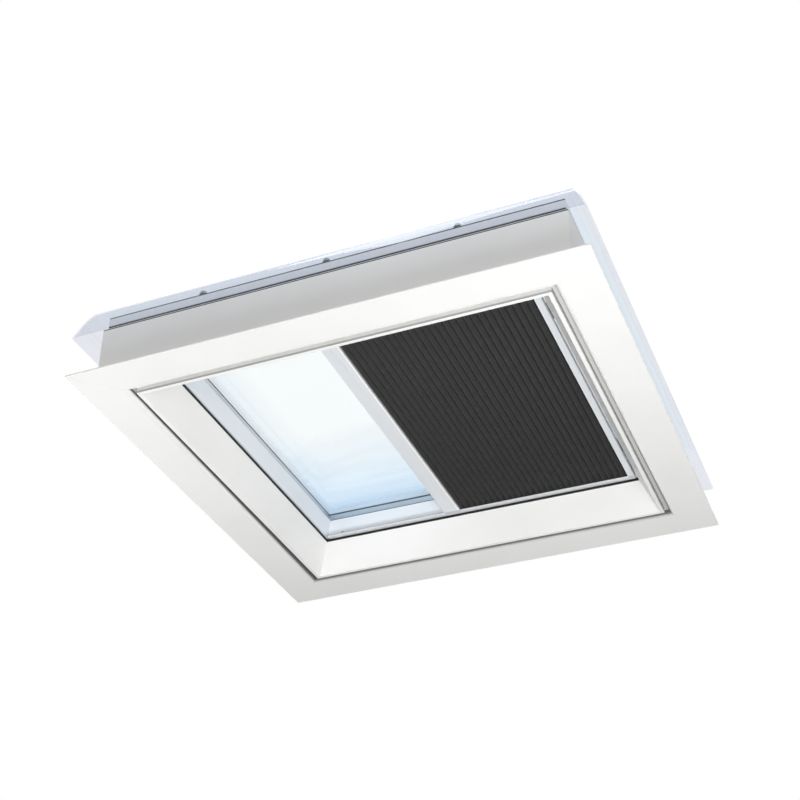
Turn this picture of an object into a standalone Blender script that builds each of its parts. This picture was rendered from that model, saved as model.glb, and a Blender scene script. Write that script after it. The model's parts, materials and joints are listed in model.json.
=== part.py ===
"""Flat-roof skylight with a motor-driven honeycomb blind, half closed.

The frame of reference has its origin in the middle of the flange's underside,
+X towards the fixed head rail of the blind, +Y towards the far side and +Z up.
The sizes below are in millimetres, and the meshes are made in metres.
"""

import math

import bmesh
import bpy
from mathutils import Matrix, Vector

MM = 0.001
GAP = 0.3
WELD = 0.001
OVERRUN = 2.0
SMOOTH_ANGLE = math.radians(35.0)

# Base frame: a plastic profile with a wide flange, a lining groove and an upstand
GROOVE_HALF = 494.0
GROOVE_WIDTH = 12.0
GROOVE_DEPTH = 15.0
RIM_WIDTH = 9.5
ROLL_WIDTH = 13.0
ROLL_HEIGHT = 9.0
ROLL_STEPS = 5
UPSTAND_DISTANCE = 54.0
UPSTAND_HEIGHT = 149.0
FLANGE_REACH = 50.0
FLANGE_THICKNESS = 4.0
PROFILE_WALL = 3.5
REVEAL_RUN = 38.7
REVEAL_HEIGHT = 82.5
CORE_CLEARANCE = 6.5

# Seals between the base frame and the sash
REVEAL_SEAL_HEIGHT = 10.0
REVEAL_SEAL_SETBACK = 1.2
REVEAL_SEAL_WIDTH = 2.4
UPSTAND_SEAL_HEIGHT = 3.0
UPSTAND_SEAL_SETBACK = 0.5
UPSTAND_SEAL_WIDTH = 10.0

# Sash: an upside-down channel that carries the glass
SASH_OVERHANG = 2.8
SASH_LEAN_RUN = 14.3
SASH_OUTER_SETBACK = 7.0
SASH_SKIRT_HEIGHT = 8.0
REBATE_DEPTH = 22.0

# Insulating glass unit and the aluminium trim that holds it down
GLASS_BEARING = 39.3
GLASS_EDGE_CLEARANCE = 4.0
PANE_THICKNESS = 4.0
SPACER_HEIGHT = 16.0
SPACER_INSET = 22.0
SPACER_WIDTH = 10.0
GLASS_GASKET_HEIGHT = 3.0
GLASS_GASKET_WIDTH = 9.0
GLASS_GASKET_SETBACK = 2.3
TRIM_BEARING = 28.0
TRIM_HEIGHT = 21.0
TRIM_WALL = 3.0
TRIM_GASKET_HEIGHT = 5.0
TRIM_GASKET_WIDTH = 6.5
TRIM_GASKET_SETBACK = 0.8

# Clear cover: a shallow dome with a flat rim and a flared skirt
COVER_WALL = 3.0
COVER_GASKET_HEIGHT = 4.0
COVER_GASKET_WIDTH = 24.0
COVER_GASKET_SETBACK = 1.0
SHOULDER_OVERHANG = 9.0
SHOULDER_RUN = 21.0
SHOULDER_DROP = 10.0
SHOULDER_STEPS = 3
SKIRT_OVERHANG = 50.0
SKIRT_HEIGHT = 83.0
SKIRT_FLARE = 0.8
SKIRT_STEPS = 3
SKIRT_CORNER_RADIUS = 8.0
DOME_INSET = 58.0
DOME_RISE = 132.0
DOME_FOOT_WIDTH = 8.0
DOME_FOOT_RISE = 5.0
DOME_CORNER_RADIUS = 60.0
DOME_ROUNDING = 0.9
DOME_MOST_ROUND = 0.85
DOME_SQUARENESS = 2.3
DOME_FULLNESS = 1.7
DOME_STEPS = 9
CORNER_STEPS = 5

# Cover screws, with each head and washer in one
SCREWS_PER_SIDE = 3
SCREW_INSET = 8.0
SCREW_END_DISTANCE = 235.0
SCREW_RADIUS = 2.6
SCREW_HEAD_RADIUS = 7.5
SCREW_HEAD_HEIGHT = 8.0
SCREW_HEAD_BEVEL = 2.5
SCREW_LENGTH = 19.5
WASHER_RADIUS = 9.5
WASHER_HEIGHT = 2.0

# Side rails: a ledge under the cloth's edge and a web on the sash
LEDGE_DROP = 4.0
LEDGE_THICKNESS = 1.5
SIDE_RAIL_HEIGHT = 19.5
SIDE_RAIL_WALL = 1.5
SIDE_RAIL_END_GAP = 0.8
RAIL_SCREW_RISE = 10.5
RAIL_SCREW_INSET = 41.5
RAIL_SCREW_RADIUS = 1.5
RAIL_SCREW_LENGTH = 9.0
RAIL_SCREW_HEAD_RADIUS = 3.2
RAIL_SCREW_HEAD_HEIGHT = 1.8
RAIL_SCREW_BEVEL = 0.6

# Racks on the ledges, and the pinions that run on them
DRIVE_MODULE = 1.5
DRIVE_PINION_TEETH = 10
DRIVE_FACE = 6.0
PINION_CLEARANCE = 1.3
RACK_BASE = 2.0
RACK_FACET_TEETH = 4
RACK_INSET = 2.5
RACK_END_DISTANCE = 79.0
PRESSURE_ANGLE = math.radians(25.0)
ADDENDUM = 0.8
DEDENDUM = 1.07
BACKLASH = 0.5

# Front bar of the blind: an aluminium tube that holds the drive
BAR_X = -88.0
BAR_DROP = 2.5
RAIL_WALL = 1.6
RAIL_CORNER = 2.5
STRIP_THICKNESS = 1.2
STRIP_LOW_MARGIN = 5.5
STRIP_TOP_MARGIN = 0.5
BUMPER_DEPTH = 2.0
BUMPER_HEIGHT = 7.0
BUMPER_REACH = 1.5
CAP_THICKNESS = 4.9
CAP_SHOULDER = 2.7
CAP_TOE = 12.3
CAP_TOE_THICKNESS = 2.2
CAP_SLOT_CLEARANCE = 0.5
PLUG_DEPTH = 20.0

# Head rail: the fixed end of the blind
HEAD_BACK_GAP = 2.0
HEAD_WIDTH = 18.0
HEAD_STEP_HEIGHT = 11.0
HEAD_STEP_RISE = 4.0
HEAD_TOP_WIDTH = 8.4
BRACKET_LENGTH = 40.0
BRACKET_INSET = 120.0
BRACKET_STEP_GAP = 1.0

# Shaft, gears and motor in the front bar
SHAFT_RADIUS = 2.5
BUSH_RADIUS = 4.5
GEAR_MODULE = 1.0
SHAFT_GEAR_TEETH = 20
MOTOR_PINION_TEETH = 14
GEAR_FACE = 6.0
GEAR_Y = 60.0
GEAR_SIDE_CLEARANCE = 1.0
GEAR_HEADROOM = 2.2
SPINDLE_RADIUS = 1.5
SPINDLE_LENGTH = 21.0
SPINDLE_PROUD = 2.0
MOTOR_RADIUS = 8.5
MOTOR_LENGTH = 112.0
MOTOR_SIDE_CLEARANCE = 0.7
MOTOR_BOSS_LENGTH = 4.0
MOTOR_BOSS_RADIUS = 4.0
CRADLE_LENGTH = 10.0
CRADLE_SPACING = 78.0
CRADLE_HEIGHT = 8.0
CRADLE_FLOOR = 2.0

# Power pack and receiver board in the front bar
CELL_COUNT = 5
CELL_RADIUS = 7.2
CELL_LENGTH = 50.0
CELL_NECK_RADIUS = 6.0
CELL_NECK_LENGTH = 1.0
TRAY_WALL = 1.2
TRAY_SIDE_CLEARANCE = 0.5
TRAY_END_CLEARANCE = 6.3
TRAY_END_WALL = 1.5
BOARD_Y = 90.0
BOARD_LENGTH = 70.0
BOARD_WIDTH = 26.0
BOARD_THICKNESS = 1.6
BOARD_PARTS = (
    (3.0, 6.0, 9.0, 9.0, 1.8),
    (15.0, 10.0, 7.0, 14.0, 4.0),
    (5.0, 40.0, 16.0, 18.0, 2.6),
)

# Honeycomb cloth
PLEATS = 28
CLOTH_LIFT = 1.0
CLOTH_EDGE_GAP = 0.9
CELL_HEIGHT = 25.0
CLOTH_WALL = 0.9
GLUE_HEIGHT = 1.3

NEAR, FAR = -1, 1
SIDES = (("near", NEAR), ("far", FAR))

# Sizes of the skylight that follow, from the lining groove outwards and upwards
GROOVE_MOUTH = GROOVE_HALF + GROOVE_WIDTH
UPSTAND_HALF = GROOVE_MOUTH + UPSTAND_DISTANCE
FLANGE_HALF = UPSTAND_HALF + FLANGE_REACH
RIM_HALF = GROOVE_HALF - RIM_WIDTH
REVEAL_TOP_HALF = RIM_HALF - REVEAL_RUN
SASH_FOOT_Z = REVEAL_HEIGHT + REVEAL_SEAL_HEIGHT
SASH_SKIRT_Z = UPSTAND_HEIGHT + UPSTAND_SEAL_HEIGHT
SASH_TOP_Z = SASH_SKIRT_Z + SASH_SKIRT_HEIGHT
SASH_SEAT_Z = SASH_TOP_Z - REBATE_DEPTH
SASH_FOOT_HALF = REVEAL_TOP_HALF - SASH_OVERHANG
SASH_LIP_HALF = SASH_FOOT_HALF - SASH_LEAN_RUN
SASH_LEAN = SASH_LEAN_RUN / (SASH_SEAT_Z - SASH_FOOT_Z)
SASH_OUTER_HALF = UPSTAND_HALF - SASH_OUTER_SETBACK
CORE_TOP = SASH_SEAT_Z - PROFILE_WALL - CORE_CLEARANCE
GLASS_HALF = SASH_LIP_HALF + GLASS_BEARING
REBATE_HALF = GLASS_HALF + GLASS_EDGE_CLEARANCE
PANE_Z = SASH_SEAT_Z + GLASS_GASKET_HEIGHT
SPACER_Z = PANE_Z + PANE_THICKNESS
UPPER_PANE_Z = SPACER_Z + SPACER_HEIGHT
UPPER_GASKET_Z = UPPER_PANE_Z + PANE_THICKNESS
TRIM_HALF = GLASS_HALF - TRIM_BEARING
TRIM_INNER_FOOT_Z = UPPER_GASKET_Z + GLASS_GASKET_HEIGHT
TRIM_FOOT_Z = SASH_TOP_Z + TRIM_GASKET_HEIGHT
TRIM_TOP_Z = TRIM_FOOT_Z + TRIM_HEIGHT
COVER_Z = TRIM_TOP_Z + COVER_GASKET_HEIGHT
COVER_TOP_Z = COVER_Z + COVER_WALL
SHOULDER_HALF = SASH_OUTER_HALF + SHOULDER_OVERHANG
SKIRT_HALF = UPSTAND_HALF + SKIRT_OVERHANG
DOME_HALF = SASH_OUTER_HALF - DOME_INSET
SCREW_HALF = SASH_OUTER_HALF - SCREW_INSET


def sash_wall(z):
    """Half size of the sash's leaning inner face at a height."""
    return SASH_FOOT_HALF - (z - SASH_FOOT_Z) * SASH_LEAN


def rail_back(z):
    """Distance of a side rail's back from the middle at a height."""
    return sash_wall(z) - GAP


# Heights of the blind that follow, from the ledge upwards
LEDGE_Z = SASH_FOOT_Z - LEDGE_DROP
LEDGE_TOP = LEDGE_Z + LEDGE_THICKNESS
WEB_TOP = LEDGE_Z + SIDE_RAIL_HEIGHT
RACK_Z = LEDGE_TOP + GAP
PITCH_LINE_Z = RACK_Z + RACK_BASE + DEDENDUM * DRIVE_MODULE
SHAFT_Z = PITCH_LINE_Z + DRIVE_MODULE * DRIVE_PINION_TEETH / 2
GEAR_TIP = GEAR_MODULE * (SHAFT_GEAR_TEETH / 2 + ADDENDUM)
GEAR_DISTANCE = GEAR_MODULE * (SHAFT_GEAR_TEETH + MOTOR_PINION_TEETH) / 2
BAR_Z = LEDGE_Z - BAR_DROP
HOLLOW_Z = BAR_Z + RAIL_WALL
HOLLOW_TOP = SHAFT_Z + GEAR_TIP + GEAR_HEADROOM
BAR_TOP = HOLLOW_TOP + RAIL_WALL
FLOOR_Z = HOLLOW_Z + GAP
STRIP_Z = BAR_Z + STRIP_LOW_MARGIN
STRIP_TOP = BAR_TOP - STRIP_TOP_MARGIN
BUMPER_Z = (BAR_Z + BAR_TOP - BUMPER_HEIGHT) / 2
CLOTH_Z = LEDGE_TOP + CLOTH_LIFT

# Places of the blind along Y, from the sash inwards
PINION_Y = rail_back(WEB_TOP) - SIDE_RAIL_WALL - PINION_CLEARANCE - DRIVE_FACE
CAP_INNER_END = PINION_Y - GAP - CAP_SHOULDER
LEDGE_Y = CAP_INNER_END + GAP
CAP_Y = CAP_INNER_END - CAP_THICKNESS
BAR_HALF_LENGTH = CAP_Y - GAP
CLOTH_HALF_WIDTH = PINION_Y - CLOTH_EDGE_GAP
BRACKET_Y = BAR_HALF_LENGTH - BRACKET_INSET
CELL_START_Y = PLUG_DEPTH - CAP_Y + TRAY_END_CLEARANCE + TRAY_END_WALL

# Places of the blind along X
SIDE_RAIL_HALF_LENGTH = sash_wall(WEB_TOP) - SIDE_RAIL_END_GAP
RAIL_SCREW_X = SIDE_RAIL_HALF_LENGTH - RAIL_SCREW_INSET
HEAD_X = SASH_FOOT_HALF - HEAD_BACK_GAP - HEAD_WIDTH
STRIP_RECESS_DEPTH = STRIP_THICKNESS + 2 * GAP
HOLLOW_X = BAR_X + BUMPER_DEPTH + RAIL_WALL
SHAFT_X = HOLLOW_X + GEAR_SIDE_CLEARANCE + GEAR_TIP
MOTOR_X = SHAFT_X + GEAR_DISTANCE
HOLLOW_RIGHT = MOTOR_X + MOTOR_RADIUS + MOTOR_SIDE_CLEARANCE
BAR_RIGHT = HOLLOW_RIGHT + RAIL_WALL + STRIP_RECESS_DEPTH
RACK_START = RACK_INSET - SIDE_RAIL_HALF_LENGTH
RACK_END = HEAD_X - RACK_END_DISTANCE
PITCH = math.pi * DRIVE_MODULE

COLOURS = {
    "white_plastic": ((0.86, 0.86, 0.85, 1.0), 0.42, 0.0),
    "sash_white": ((0.82, 0.84, 0.86, 1.0), 0.4, 0.0),
    "insulation": ((0.78, 0.8, 0.82, 1.0), 0.9, 0.0),
    "black_rubber": ((0.03, 0.03, 0.032, 1.0), 0.7, 0.0),
    "glass": ((0.75, 0.88, 0.95, 0.3), 0.05, 0.0),
    "spacer": ((0.55, 0.57, 0.6, 1.0), 0.35, 0.8),
    "clear_cover": ((0.8, 0.88, 0.96, 0.3), 0.08, 0.0),
    "silver": ((0.72, 0.74, 0.75, 1.0), 0.35, 0.7),
    "steel": ((0.5, 0.5, 0.52, 1.0), 0.3, 1.0),
    "dark_cloth": ((0.035, 0.035, 0.037, 1.0), 0.85, 0.0),
    "grey_plastic": ((0.6, 0.61, 0.62, 1.0), 0.5, 0.0),
    "brass": ((0.6, 0.45, 0.2, 1.0), 0.35, 1.0),
    "motor_can": ((0.45, 0.46, 0.48, 1.0), 0.35, 0.9),
    "cell_wrap": ((0.1, 0.25, 0.4, 1.0), 0.4, 0.0),
    "board": ((0.02, 0.2, 0.09, 1.0), 0.45, 0.0),
}


def clear_scene():
    """Remove every object of the scene."""
    for obj in list(bpy.data.objects):
        bpy.data.objects.remove(obj, do_unlink=True)


def material(name):
    """Return the named material, made once from its colour, roughness and metal value."""
    found = bpy.data.materials.get(name)
    if found:
        return found
    colour, roughness, metallic = COLOURS[name]
    made = bpy.data.materials.new(name)
    made.use_nodes = True
    shader = made.node_tree.nodes["Principled BSDF"]
    shader.inputs["Base Color"].default_value = colour
    shader.inputs["Roughness"].default_value = roughness
    shader.inputs["Metallic"].default_value = metallic
    shader.inputs["Alpha"].default_value = colour[3]
    made.diffuse_color = colour
    return made


def finish(bm, name, finish_name, smooth=False, origin=None):
    """Turn a mesh in millimetres into an object in metres, with its origin at a point."""
    bmesh.ops.remove_doubles(bm, verts=bm.verts, dist=WELD)
    bmesh.ops.recalc_face_normals(bm, faces=bm.faces)
    centre = Vector(origin or (0.0, 0.0, 0.0))
    bm.transform(Matrix.Scale(MM, 4) @ Matrix.Translation(-centre))
    mesh = bpy.data.meshes.new(name)
    bm.to_mesh(mesh)
    bm.free()
    mesh.materials.append(material(finish_name))
    if smooth:
        mesh.shade_smooth()
        mesh.set_sharp_from_angle(angle=SMOOTH_ANGLE)
    obj = bpy.data.objects.new(name, mesh)
    obj.location = centre * MM
    bpy.context.scene.collection.objects.link(obj)
    return obj


def add_prism(bm, outline, start, end, place):
    """Add a prism to a mesh: an outline of two-number points, set by place at both ends."""
    first = [bm.verts.new(place(u, v, start)) for u, v in outline]
    last = [bm.verts.new(place(u, v, end)) for u, v in outline]
    count = len(outline)
    for i in range(count):
        j = (i + 1) % count
        bm.faces.new((first[i], first[j], last[j], last[i]))
    bm.faces.new(first[::-1])
    bm.faces.new(last)


def along_x(y, z, x):
    """Place a section's point for a prism that runs along X."""
    return (x, y, z)


def along_y(x, z, y):
    """Place a section's point for a prism that runs along Y."""
    return (x, y, z)


def along_z(x, y, z):
    """Place a section's point for a prism that runs along Z."""
    return (x, y, z)


def prism(name, outline, start, end, place, finish_name, origin=None, smooth=False):
    """Make one prism as an object."""
    bm = bmesh.new()
    add_prism(bm, outline, start, end, place)
    return finish(bm, name, finish_name, smooth, origin)


def circle(u, v, radius, sides=16, turn=0.0):
    """Points of a regular polygon that stands in for a circle."""
    step = 2 * math.pi / sides
    return [
        (u + radius * math.cos(turn + i * step), v + radius * math.sin(turn + i * step))
        for i in range(sides)
    ]


def box_outline(u0, v0, u1, v1):
    """Corners of a rectangle between two opposite corners."""
    return [(u0, v0), (u1, v0), (u1, v1), (u0, v1)]


def square_ring(name, section, finish_name):
    """Sweep a closed section of (half size, height) points round a square with mitred corners."""
    bm = bmesh.new()
    corners = ((-1, -1), (1, -1), (1, 1), (-1, 1))
    loops = [[bm.verts.new((a * r, b * r, z)) for r, z in section] for a, b in corners]
    count = len(section)
    for k, loop in enumerate(loops):
        after = loops[(k + 1) % 4]
        for i in range(count):
            j = (i + 1) % count
            bm.faces.new((loop[i], loop[j], after[j], after[i]))
    return finish(bm, name, finish_name)


def cut(obj, tools, operation="DIFFERENCE"):
    """Apply an exact Boolean of each tool to an object, and drop the tool."""
    for tool in tools:
        modifier = obj.modifiers.new("cut", "BOOLEAN")
        modifier.operation = operation
        modifier.solver = "EXACT"
        modifier.object = tool
        bpy.context.view_layer.update()
        graph = bpy.context.evaluated_depsgraph_get()
        mesh = bpy.data.meshes.new_from_object(obj.evaluated_get(graph))
        obj.modifiers.clear()
        obj.data = mesh
        bpy.data.objects.remove(tool, do_unlink=True)
    mesh = obj.data
    merged = bmesh.new()
    merged.from_mesh(mesh)
    bmesh.ops.remove_doubles(merged, verts=merged.verts, dist=WELD * MM)
    bmesh.ops.dissolve_degenerate(merged, edges=merged.edges, dist=WELD * MM)
    merged.to_mesh(mesh)
    merged.free()
    return obj


def cutter(outline, start, end, place):
    """Make one prism that cuts another object."""
    return prism("cutter", outline, start, end, place, "steel")


def cutters_in_one(parts):
    """Make one cutter of several prisms that don't touch."""
    bm = bmesh.new()
    for outline, start, end, place in parts:
        add_prism(bm, outline, start, end, place)
    return finish(bm, "cutter", "steel")


# Skylight


def reveal_back(z):
    """Half size of the hidden face of the splayed reveal at a height."""
    length = math.hypot(REVEAL_RUN, REVEAL_HEIGHT)
    shift_out = PROFILE_WALL * REVEAL_HEIGHT / length
    shift_up = PROFILE_WALL * REVEAL_RUN / length
    return RIM_HALF + shift_out - (z - shift_up) * REVEAL_RUN / REVEAL_HEIGHT


def rolled_edge(side_wall=0.0, floor_wall=0.0):
    """Rounded inner edge of the flange, from its underside up into the groove."""
    corner = GROOVE_MOUTH + ROLL_WIDTH
    points = []
    for i in range(ROLL_STEPS + 1):
        angle = math.pi / 2 * i / ROLL_STEPS
        r = corner - (ROLL_WIDTH - side_wall) * math.sin(angle)
        z = ROLL_HEIGHT - (ROLL_HEIGHT - floor_wall) * math.cos(angle)
        points.append((r, z))
    return points


def make_base_frame():
    """Flange, lining groove, rim, splayed reveal and upstand, in one welded profile."""
    groove_top = GROOVE_DEPTH + PROFILE_WALL
    inner_wall = UPSTAND_HALF - PROFILE_WALL
    section = [(FLANGE_HALF, 0.0)]
    section += rolled_edge()
    section += [
        (GROOVE_MOUTH, GROOVE_DEPTH),
        (GROOVE_HALF, GROOVE_DEPTH),
        (GROOVE_HALF, 0.0),
        (RIM_HALF, 0.0),
        (REVEAL_TOP_HALF, REVEAL_HEIGHT),
        (reveal_back(REVEAL_HEIGHT), REVEAL_HEIGHT),
        (reveal_back(groove_top), groove_top),
        (GROOVE_MOUTH + PROFILE_WALL, groove_top),
    ]
    section += rolled_edge(PROFILE_WALL, FLANGE_THICKNESS)[::-1]
    section += [
        (inner_wall, FLANGE_THICKNESS),
        (inner_wall, UPSTAND_HEIGHT),
        (UPSTAND_HALF, UPSTAND_HEIGHT),
        (UPSTAND_HALF, FLANGE_THICKNESS),
        (FLANGE_HALF, FLANGE_THICKNESS),
    ]
    square_ring("base_frame", section, "white_plastic")


def make_insulation_core():
    """Foam core that fills the frame's channel."""
    groove_top = GROOVE_DEPTH + PROFILE_WALL + GAP
    mouth = GROOVE_MOUTH + PROFILE_WALL + GAP
    outer = UPSTAND_HALF - PROFILE_WALL - GAP
    floor = FLANGE_THICKNESS + GAP
    section = [
        (outer, floor),
        (outer, CORE_TOP),
        (reveal_back(REVEAL_HEIGHT) + GAP, CORE_TOP),
        (reveal_back(REVEAL_HEIGHT) + GAP, REVEAL_HEIGHT),
        (reveal_back(groove_top) + 2 * GAP, groove_top),
        (mouth, groove_top),
        (mouth, ROLL_HEIGHT),
        (GROOVE_MOUTH + ROLL_WIDTH, floor),
    ]
    square_ring("insulation_core", section, "insulation")


def make_frame_seals():
    """Rubber seals between the base frame and the sash, inside and outside."""
    inner = REVEAL_TOP_HALF + REVEAL_SEAL_SETBACK
    seal = box_outline(
        inner, REVEAL_HEIGHT + GAP, inner + REVEAL_SEAL_WIDTH, SASH_FOOT_Z - GAP
    )
    square_ring("reveal_seal", seal, "black_rubber")
    outer = UPSTAND_HALF - UPSTAND_SEAL_SETBACK
    seal = box_outline(
        outer - UPSTAND_SEAL_WIDTH, UPSTAND_HEIGHT + GAP, outer, SASH_SKIRT_Z - GAP
    )
    square_ring("upstand_seal", seal, "black_rubber")


def make_sash():
    """Upside-down channel with a leaning inner face and a rebate for the glass."""
    under_seat = SASH_SEAT_Z - PROFILE_WALL
    section = [
        (SASH_FOOT_HALF, SASH_FOOT_Z),
        (SASH_LIP_HALF, SASH_SEAT_Z),
        (REBATE_HALF, SASH_SEAT_Z),
        (REBATE_HALF, SASH_TOP_Z),
        (SASH_OUTER_HALF, SASH_TOP_Z),
        (SASH_OUTER_HALF, SASH_SKIRT_Z),
        (SASH_OUTER_HALF - PROFILE_WALL, SASH_SKIRT_Z),
        (SASH_OUTER_HALF - PROFILE_WALL, SASH_TOP_Z - PROFILE_WALL),
        (REBATE_HALF + PROFILE_WALL, SASH_TOP_Z - PROFILE_WALL),
        (REBATE_HALF + PROFILE_WALL, under_seat),
        (sash_wall(under_seat) + PROFILE_WALL, under_seat),
        (SASH_FOOT_HALF + PROFILE_WALL, SASH_FOOT_Z),
    ]
    square_ring("sash_frame", section, "sash_white")


def make_glass_unit():
    """Two panes held apart by a spacer, between a lower and an upper gasket."""
    square = box_outline(-GLASS_HALF, -GLASS_HALF, GLASS_HALF, GLASS_HALF)
    pane_top = PANE_Z + PANE_THICKNESS
    prism("lower_pane", square, PANE_Z, pane_top, along_z, "glass")
    prism("upper_pane", square, UPPER_PANE_Z, UPPER_GASKET_Z, along_z, "glass")
    outer = GLASS_HALF - SPACER_INSET
    spacer = box_outline(outer - SPACER_WIDTH, SPACER_Z + GAP, outer, UPPER_PANE_Z - GAP)
    square_ring("glass_spacer", spacer, "spacer")
    inner = SASH_LIP_HALF + GLASS_GASKET_SETBACK
    gasket = box_outline(
        inner, SASH_SEAT_Z + GAP, inner + GLASS_GASKET_WIDTH, PANE_Z - GAP
    )
    square_ring("glass_gasket_lower", gasket, "black_rubber")
    inner = TRIM_HALF - (GLASS_GASKET_WIDTH - TRIM_WALL) / 2
    gasket = box_outline(
        inner, UPPER_GASKET_Z + GAP, inner + GLASS_GASKET_WIDTH, TRIM_INNER_FOOT_Z - GAP
    )
    square_ring("glass_gasket_upper", gasket, "black_rubber")


def make_glazing_trim():
    """Aluminium channel that clamps the glass, on a gasket that shows as a dark line."""
    ceiling = TRIM_TOP_Z - TRIM_WALL
    section = [
        (TRIM_HALF, TRIM_INNER_FOOT_Z),
        (TRIM_HALF, TRIM_TOP_Z),
        (SASH_OUTER_HALF, TRIM_TOP_Z),
        (SASH_OUTER_HALF, TRIM_FOOT_Z),
        (SASH_OUTER_HALF - TRIM_WALL, TRIM_FOOT_Z),
        (SASH_OUTER_HALF - TRIM_WALL, ceiling),
        (TRIM_HALF + TRIM_WALL, ceiling),
        (TRIM_HALF + TRIM_WALL, TRIM_INNER_FOOT_Z),
    ]
    square_ring("glazing_trim", section, "silver")
    cut(bpy.data.objects["glazing_trim"], [screw_holes(ceiling - OVERRUN, TRIM_TOP_Z + OVERRUN)])
    outer = SASH_OUTER_HALF - TRIM_GASKET_SETBACK
    gasket = box_outline(
        outer - TRIM_GASKET_WIDTH, SASH_TOP_Z + GAP, outer, TRIM_FOOT_Z - GAP
    )
    square_ring("trim_gasket", gasket, "black_rubber")


def screw_places():
    """Side's name and middle of each cover screw, going round the four sides."""
    reach = SCREW_HALF - SCREW_END_DISTANCE
    places = []
    for i in range(SCREWS_PER_SIDE):
        t = reach * (2 * i / (SCREWS_PER_SIDE - 1) - 1)
        places += [
            (f"near_{i + 1}", t, -SCREW_HALF),
            (f"far_{i + 1}", t, SCREW_HALF),
            (f"left_{i + 1}", -SCREW_HALF, t),
            (f"right_{i + 1}", SCREW_HALF, t),
        ]
    return places


def screw_holes(low, high):
    """One cutter for all the screw holes between two heights."""
    radius = SCREW_RADIUS + GAP
    holes = [(circle(x, y, radius, 8), low, high, along_z) for _, x, y in screw_places()]
    return cutters_in_one(holes)


def turned(name, levels, place, finish_name, sides=8):
    """Turn a list of (radius, height) levels about Z, set by a matrix, closed at both ends."""
    bm = bmesh.new()
    rows = []
    for radius, z in levels:
        ring = circle(0.0, 0.0, radius, sides)
        rows.append([bm.verts.new(place @ Vector((u, v, z))) for u, v in ring])
    for row, after in zip(rows, rows[1:]):
        for i in range(sides):
            j = (i + 1) % sides
            bm.faces.new((row[i], row[j], after[j], after[i]))
    bm.faces.new(rows[0][::-1])
    bm.faces.new(rows[-1])
    return finish(bm, name, finish_name, smooth=True)


def make_cover_screws():
    """Sealing screws that hold the cover, each with its washer and head in one."""
    washer_top = GAP + WASHER_HEIGHT
    head_top = washer_top + SCREW_HEAD_HEIGHT
    levels = (
        (SCREW_RADIUS, -SCREW_LENGTH),
        (SCREW_RADIUS, GAP),
        (WASHER_RADIUS, GAP),
        (WASHER_RADIUS, washer_top),
        (SCREW_HEAD_RADIUS, washer_top),
        (SCREW_HEAD_RADIUS, head_top - SCREW_HEAD_BEVEL),
        (SCREW_HEAD_RADIUS - SCREW_HEAD_BEVEL, head_top),
    )
    for word, x, y in screw_places():
        place = Matrix.Translation((x, y, COVER_TOP_Z))
        turned(f"cover_screw_{word}", levels, place, "steel")


def cover_profile():
    """Outer face of the cover as (half size, height, corner radius), rim to top."""
    fold_half = SHOULDER_HALF + SHOULDER_RUN
    fold_z = COVER_TOP_Z - SHOULDER_DROP
    skirt_drop = SKIRT_HEIGHT - SHOULDER_DROP
    profile = []
    for i in range(SKIRT_STEPS):
        t = 1 - i / SKIRT_STEPS
        half = fold_half + (SKIRT_HALF - fold_half) * t**SKIRT_FLARE
        profile.append((half, fold_z - skirt_drop * t, SKIRT_CORNER_RADIUS))
    for i in range(SHOULDER_STEPS + 1):
        a = math.pi / 2 * i / SHOULDER_STEPS
        half = SHOULDER_HALF + SHOULDER_RUN * math.cos(a)
        profile.append((half, fold_z + SHOULDER_DROP * math.sin(a), SKIRT_CORNER_RADIUS))
    profile.append((DOME_HALF + DOME_FOOT_WIDTH, COVER_TOP_Z, DOME_CORNER_RADIUS))
    for i in range(DOME_STEPS):
        t = math.pi / 2 * i / DOME_STEPS
        half = DOME_HALF * math.cos(t) ** (2 / DOME_SQUARENESS)
        z = COVER_TOP_Z + DOME_FOOT_RISE
        z += (DOME_RISE - DOME_FOOT_RISE) * math.sin(t) ** (2 / DOME_FULLNESS)
        radius = DOME_CORNER_RADIUS + (DOME_HALF - half) * DOME_ROUNDING
        profile.append((half, z, min(radius, DOME_MOST_ROUND * half)))
    return profile


def offset_profile(profile, depth):
    """Move a profile inwards by a wall thickness, square to its own slope."""
    moved = []
    for i, (half, z, radius) in enumerate(profile):
        before = profile[max(i - 1, 0)]
        after = profile[min(i + 1, len(profile) - 1)]
        run = Vector((after[0] - before[0], after[1] - before[1])).normalized()
        moved.append((half - run.y * depth, z + run.x * depth, max(radius - depth, 1.0)))
    return moved


def rounded_square(half, radius):
    """Points of a square with rounded corners, anticlockwise."""
    points = []
    for quarter in range(4):
        for i in range(CORNER_STEPS + 1):
            angle = math.pi / 2 * (quarter + i / CORNER_STEPS)
            sx = 1 if quarter in (0, 3) else -1
            sy = 1 if quarter in (0, 1) else -1
            x = sx * (half - radius) + radius * math.cos(angle)
            y = sy * (half - radius) + radius * math.sin(angle)
            points.append((x, y))
    return points


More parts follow.
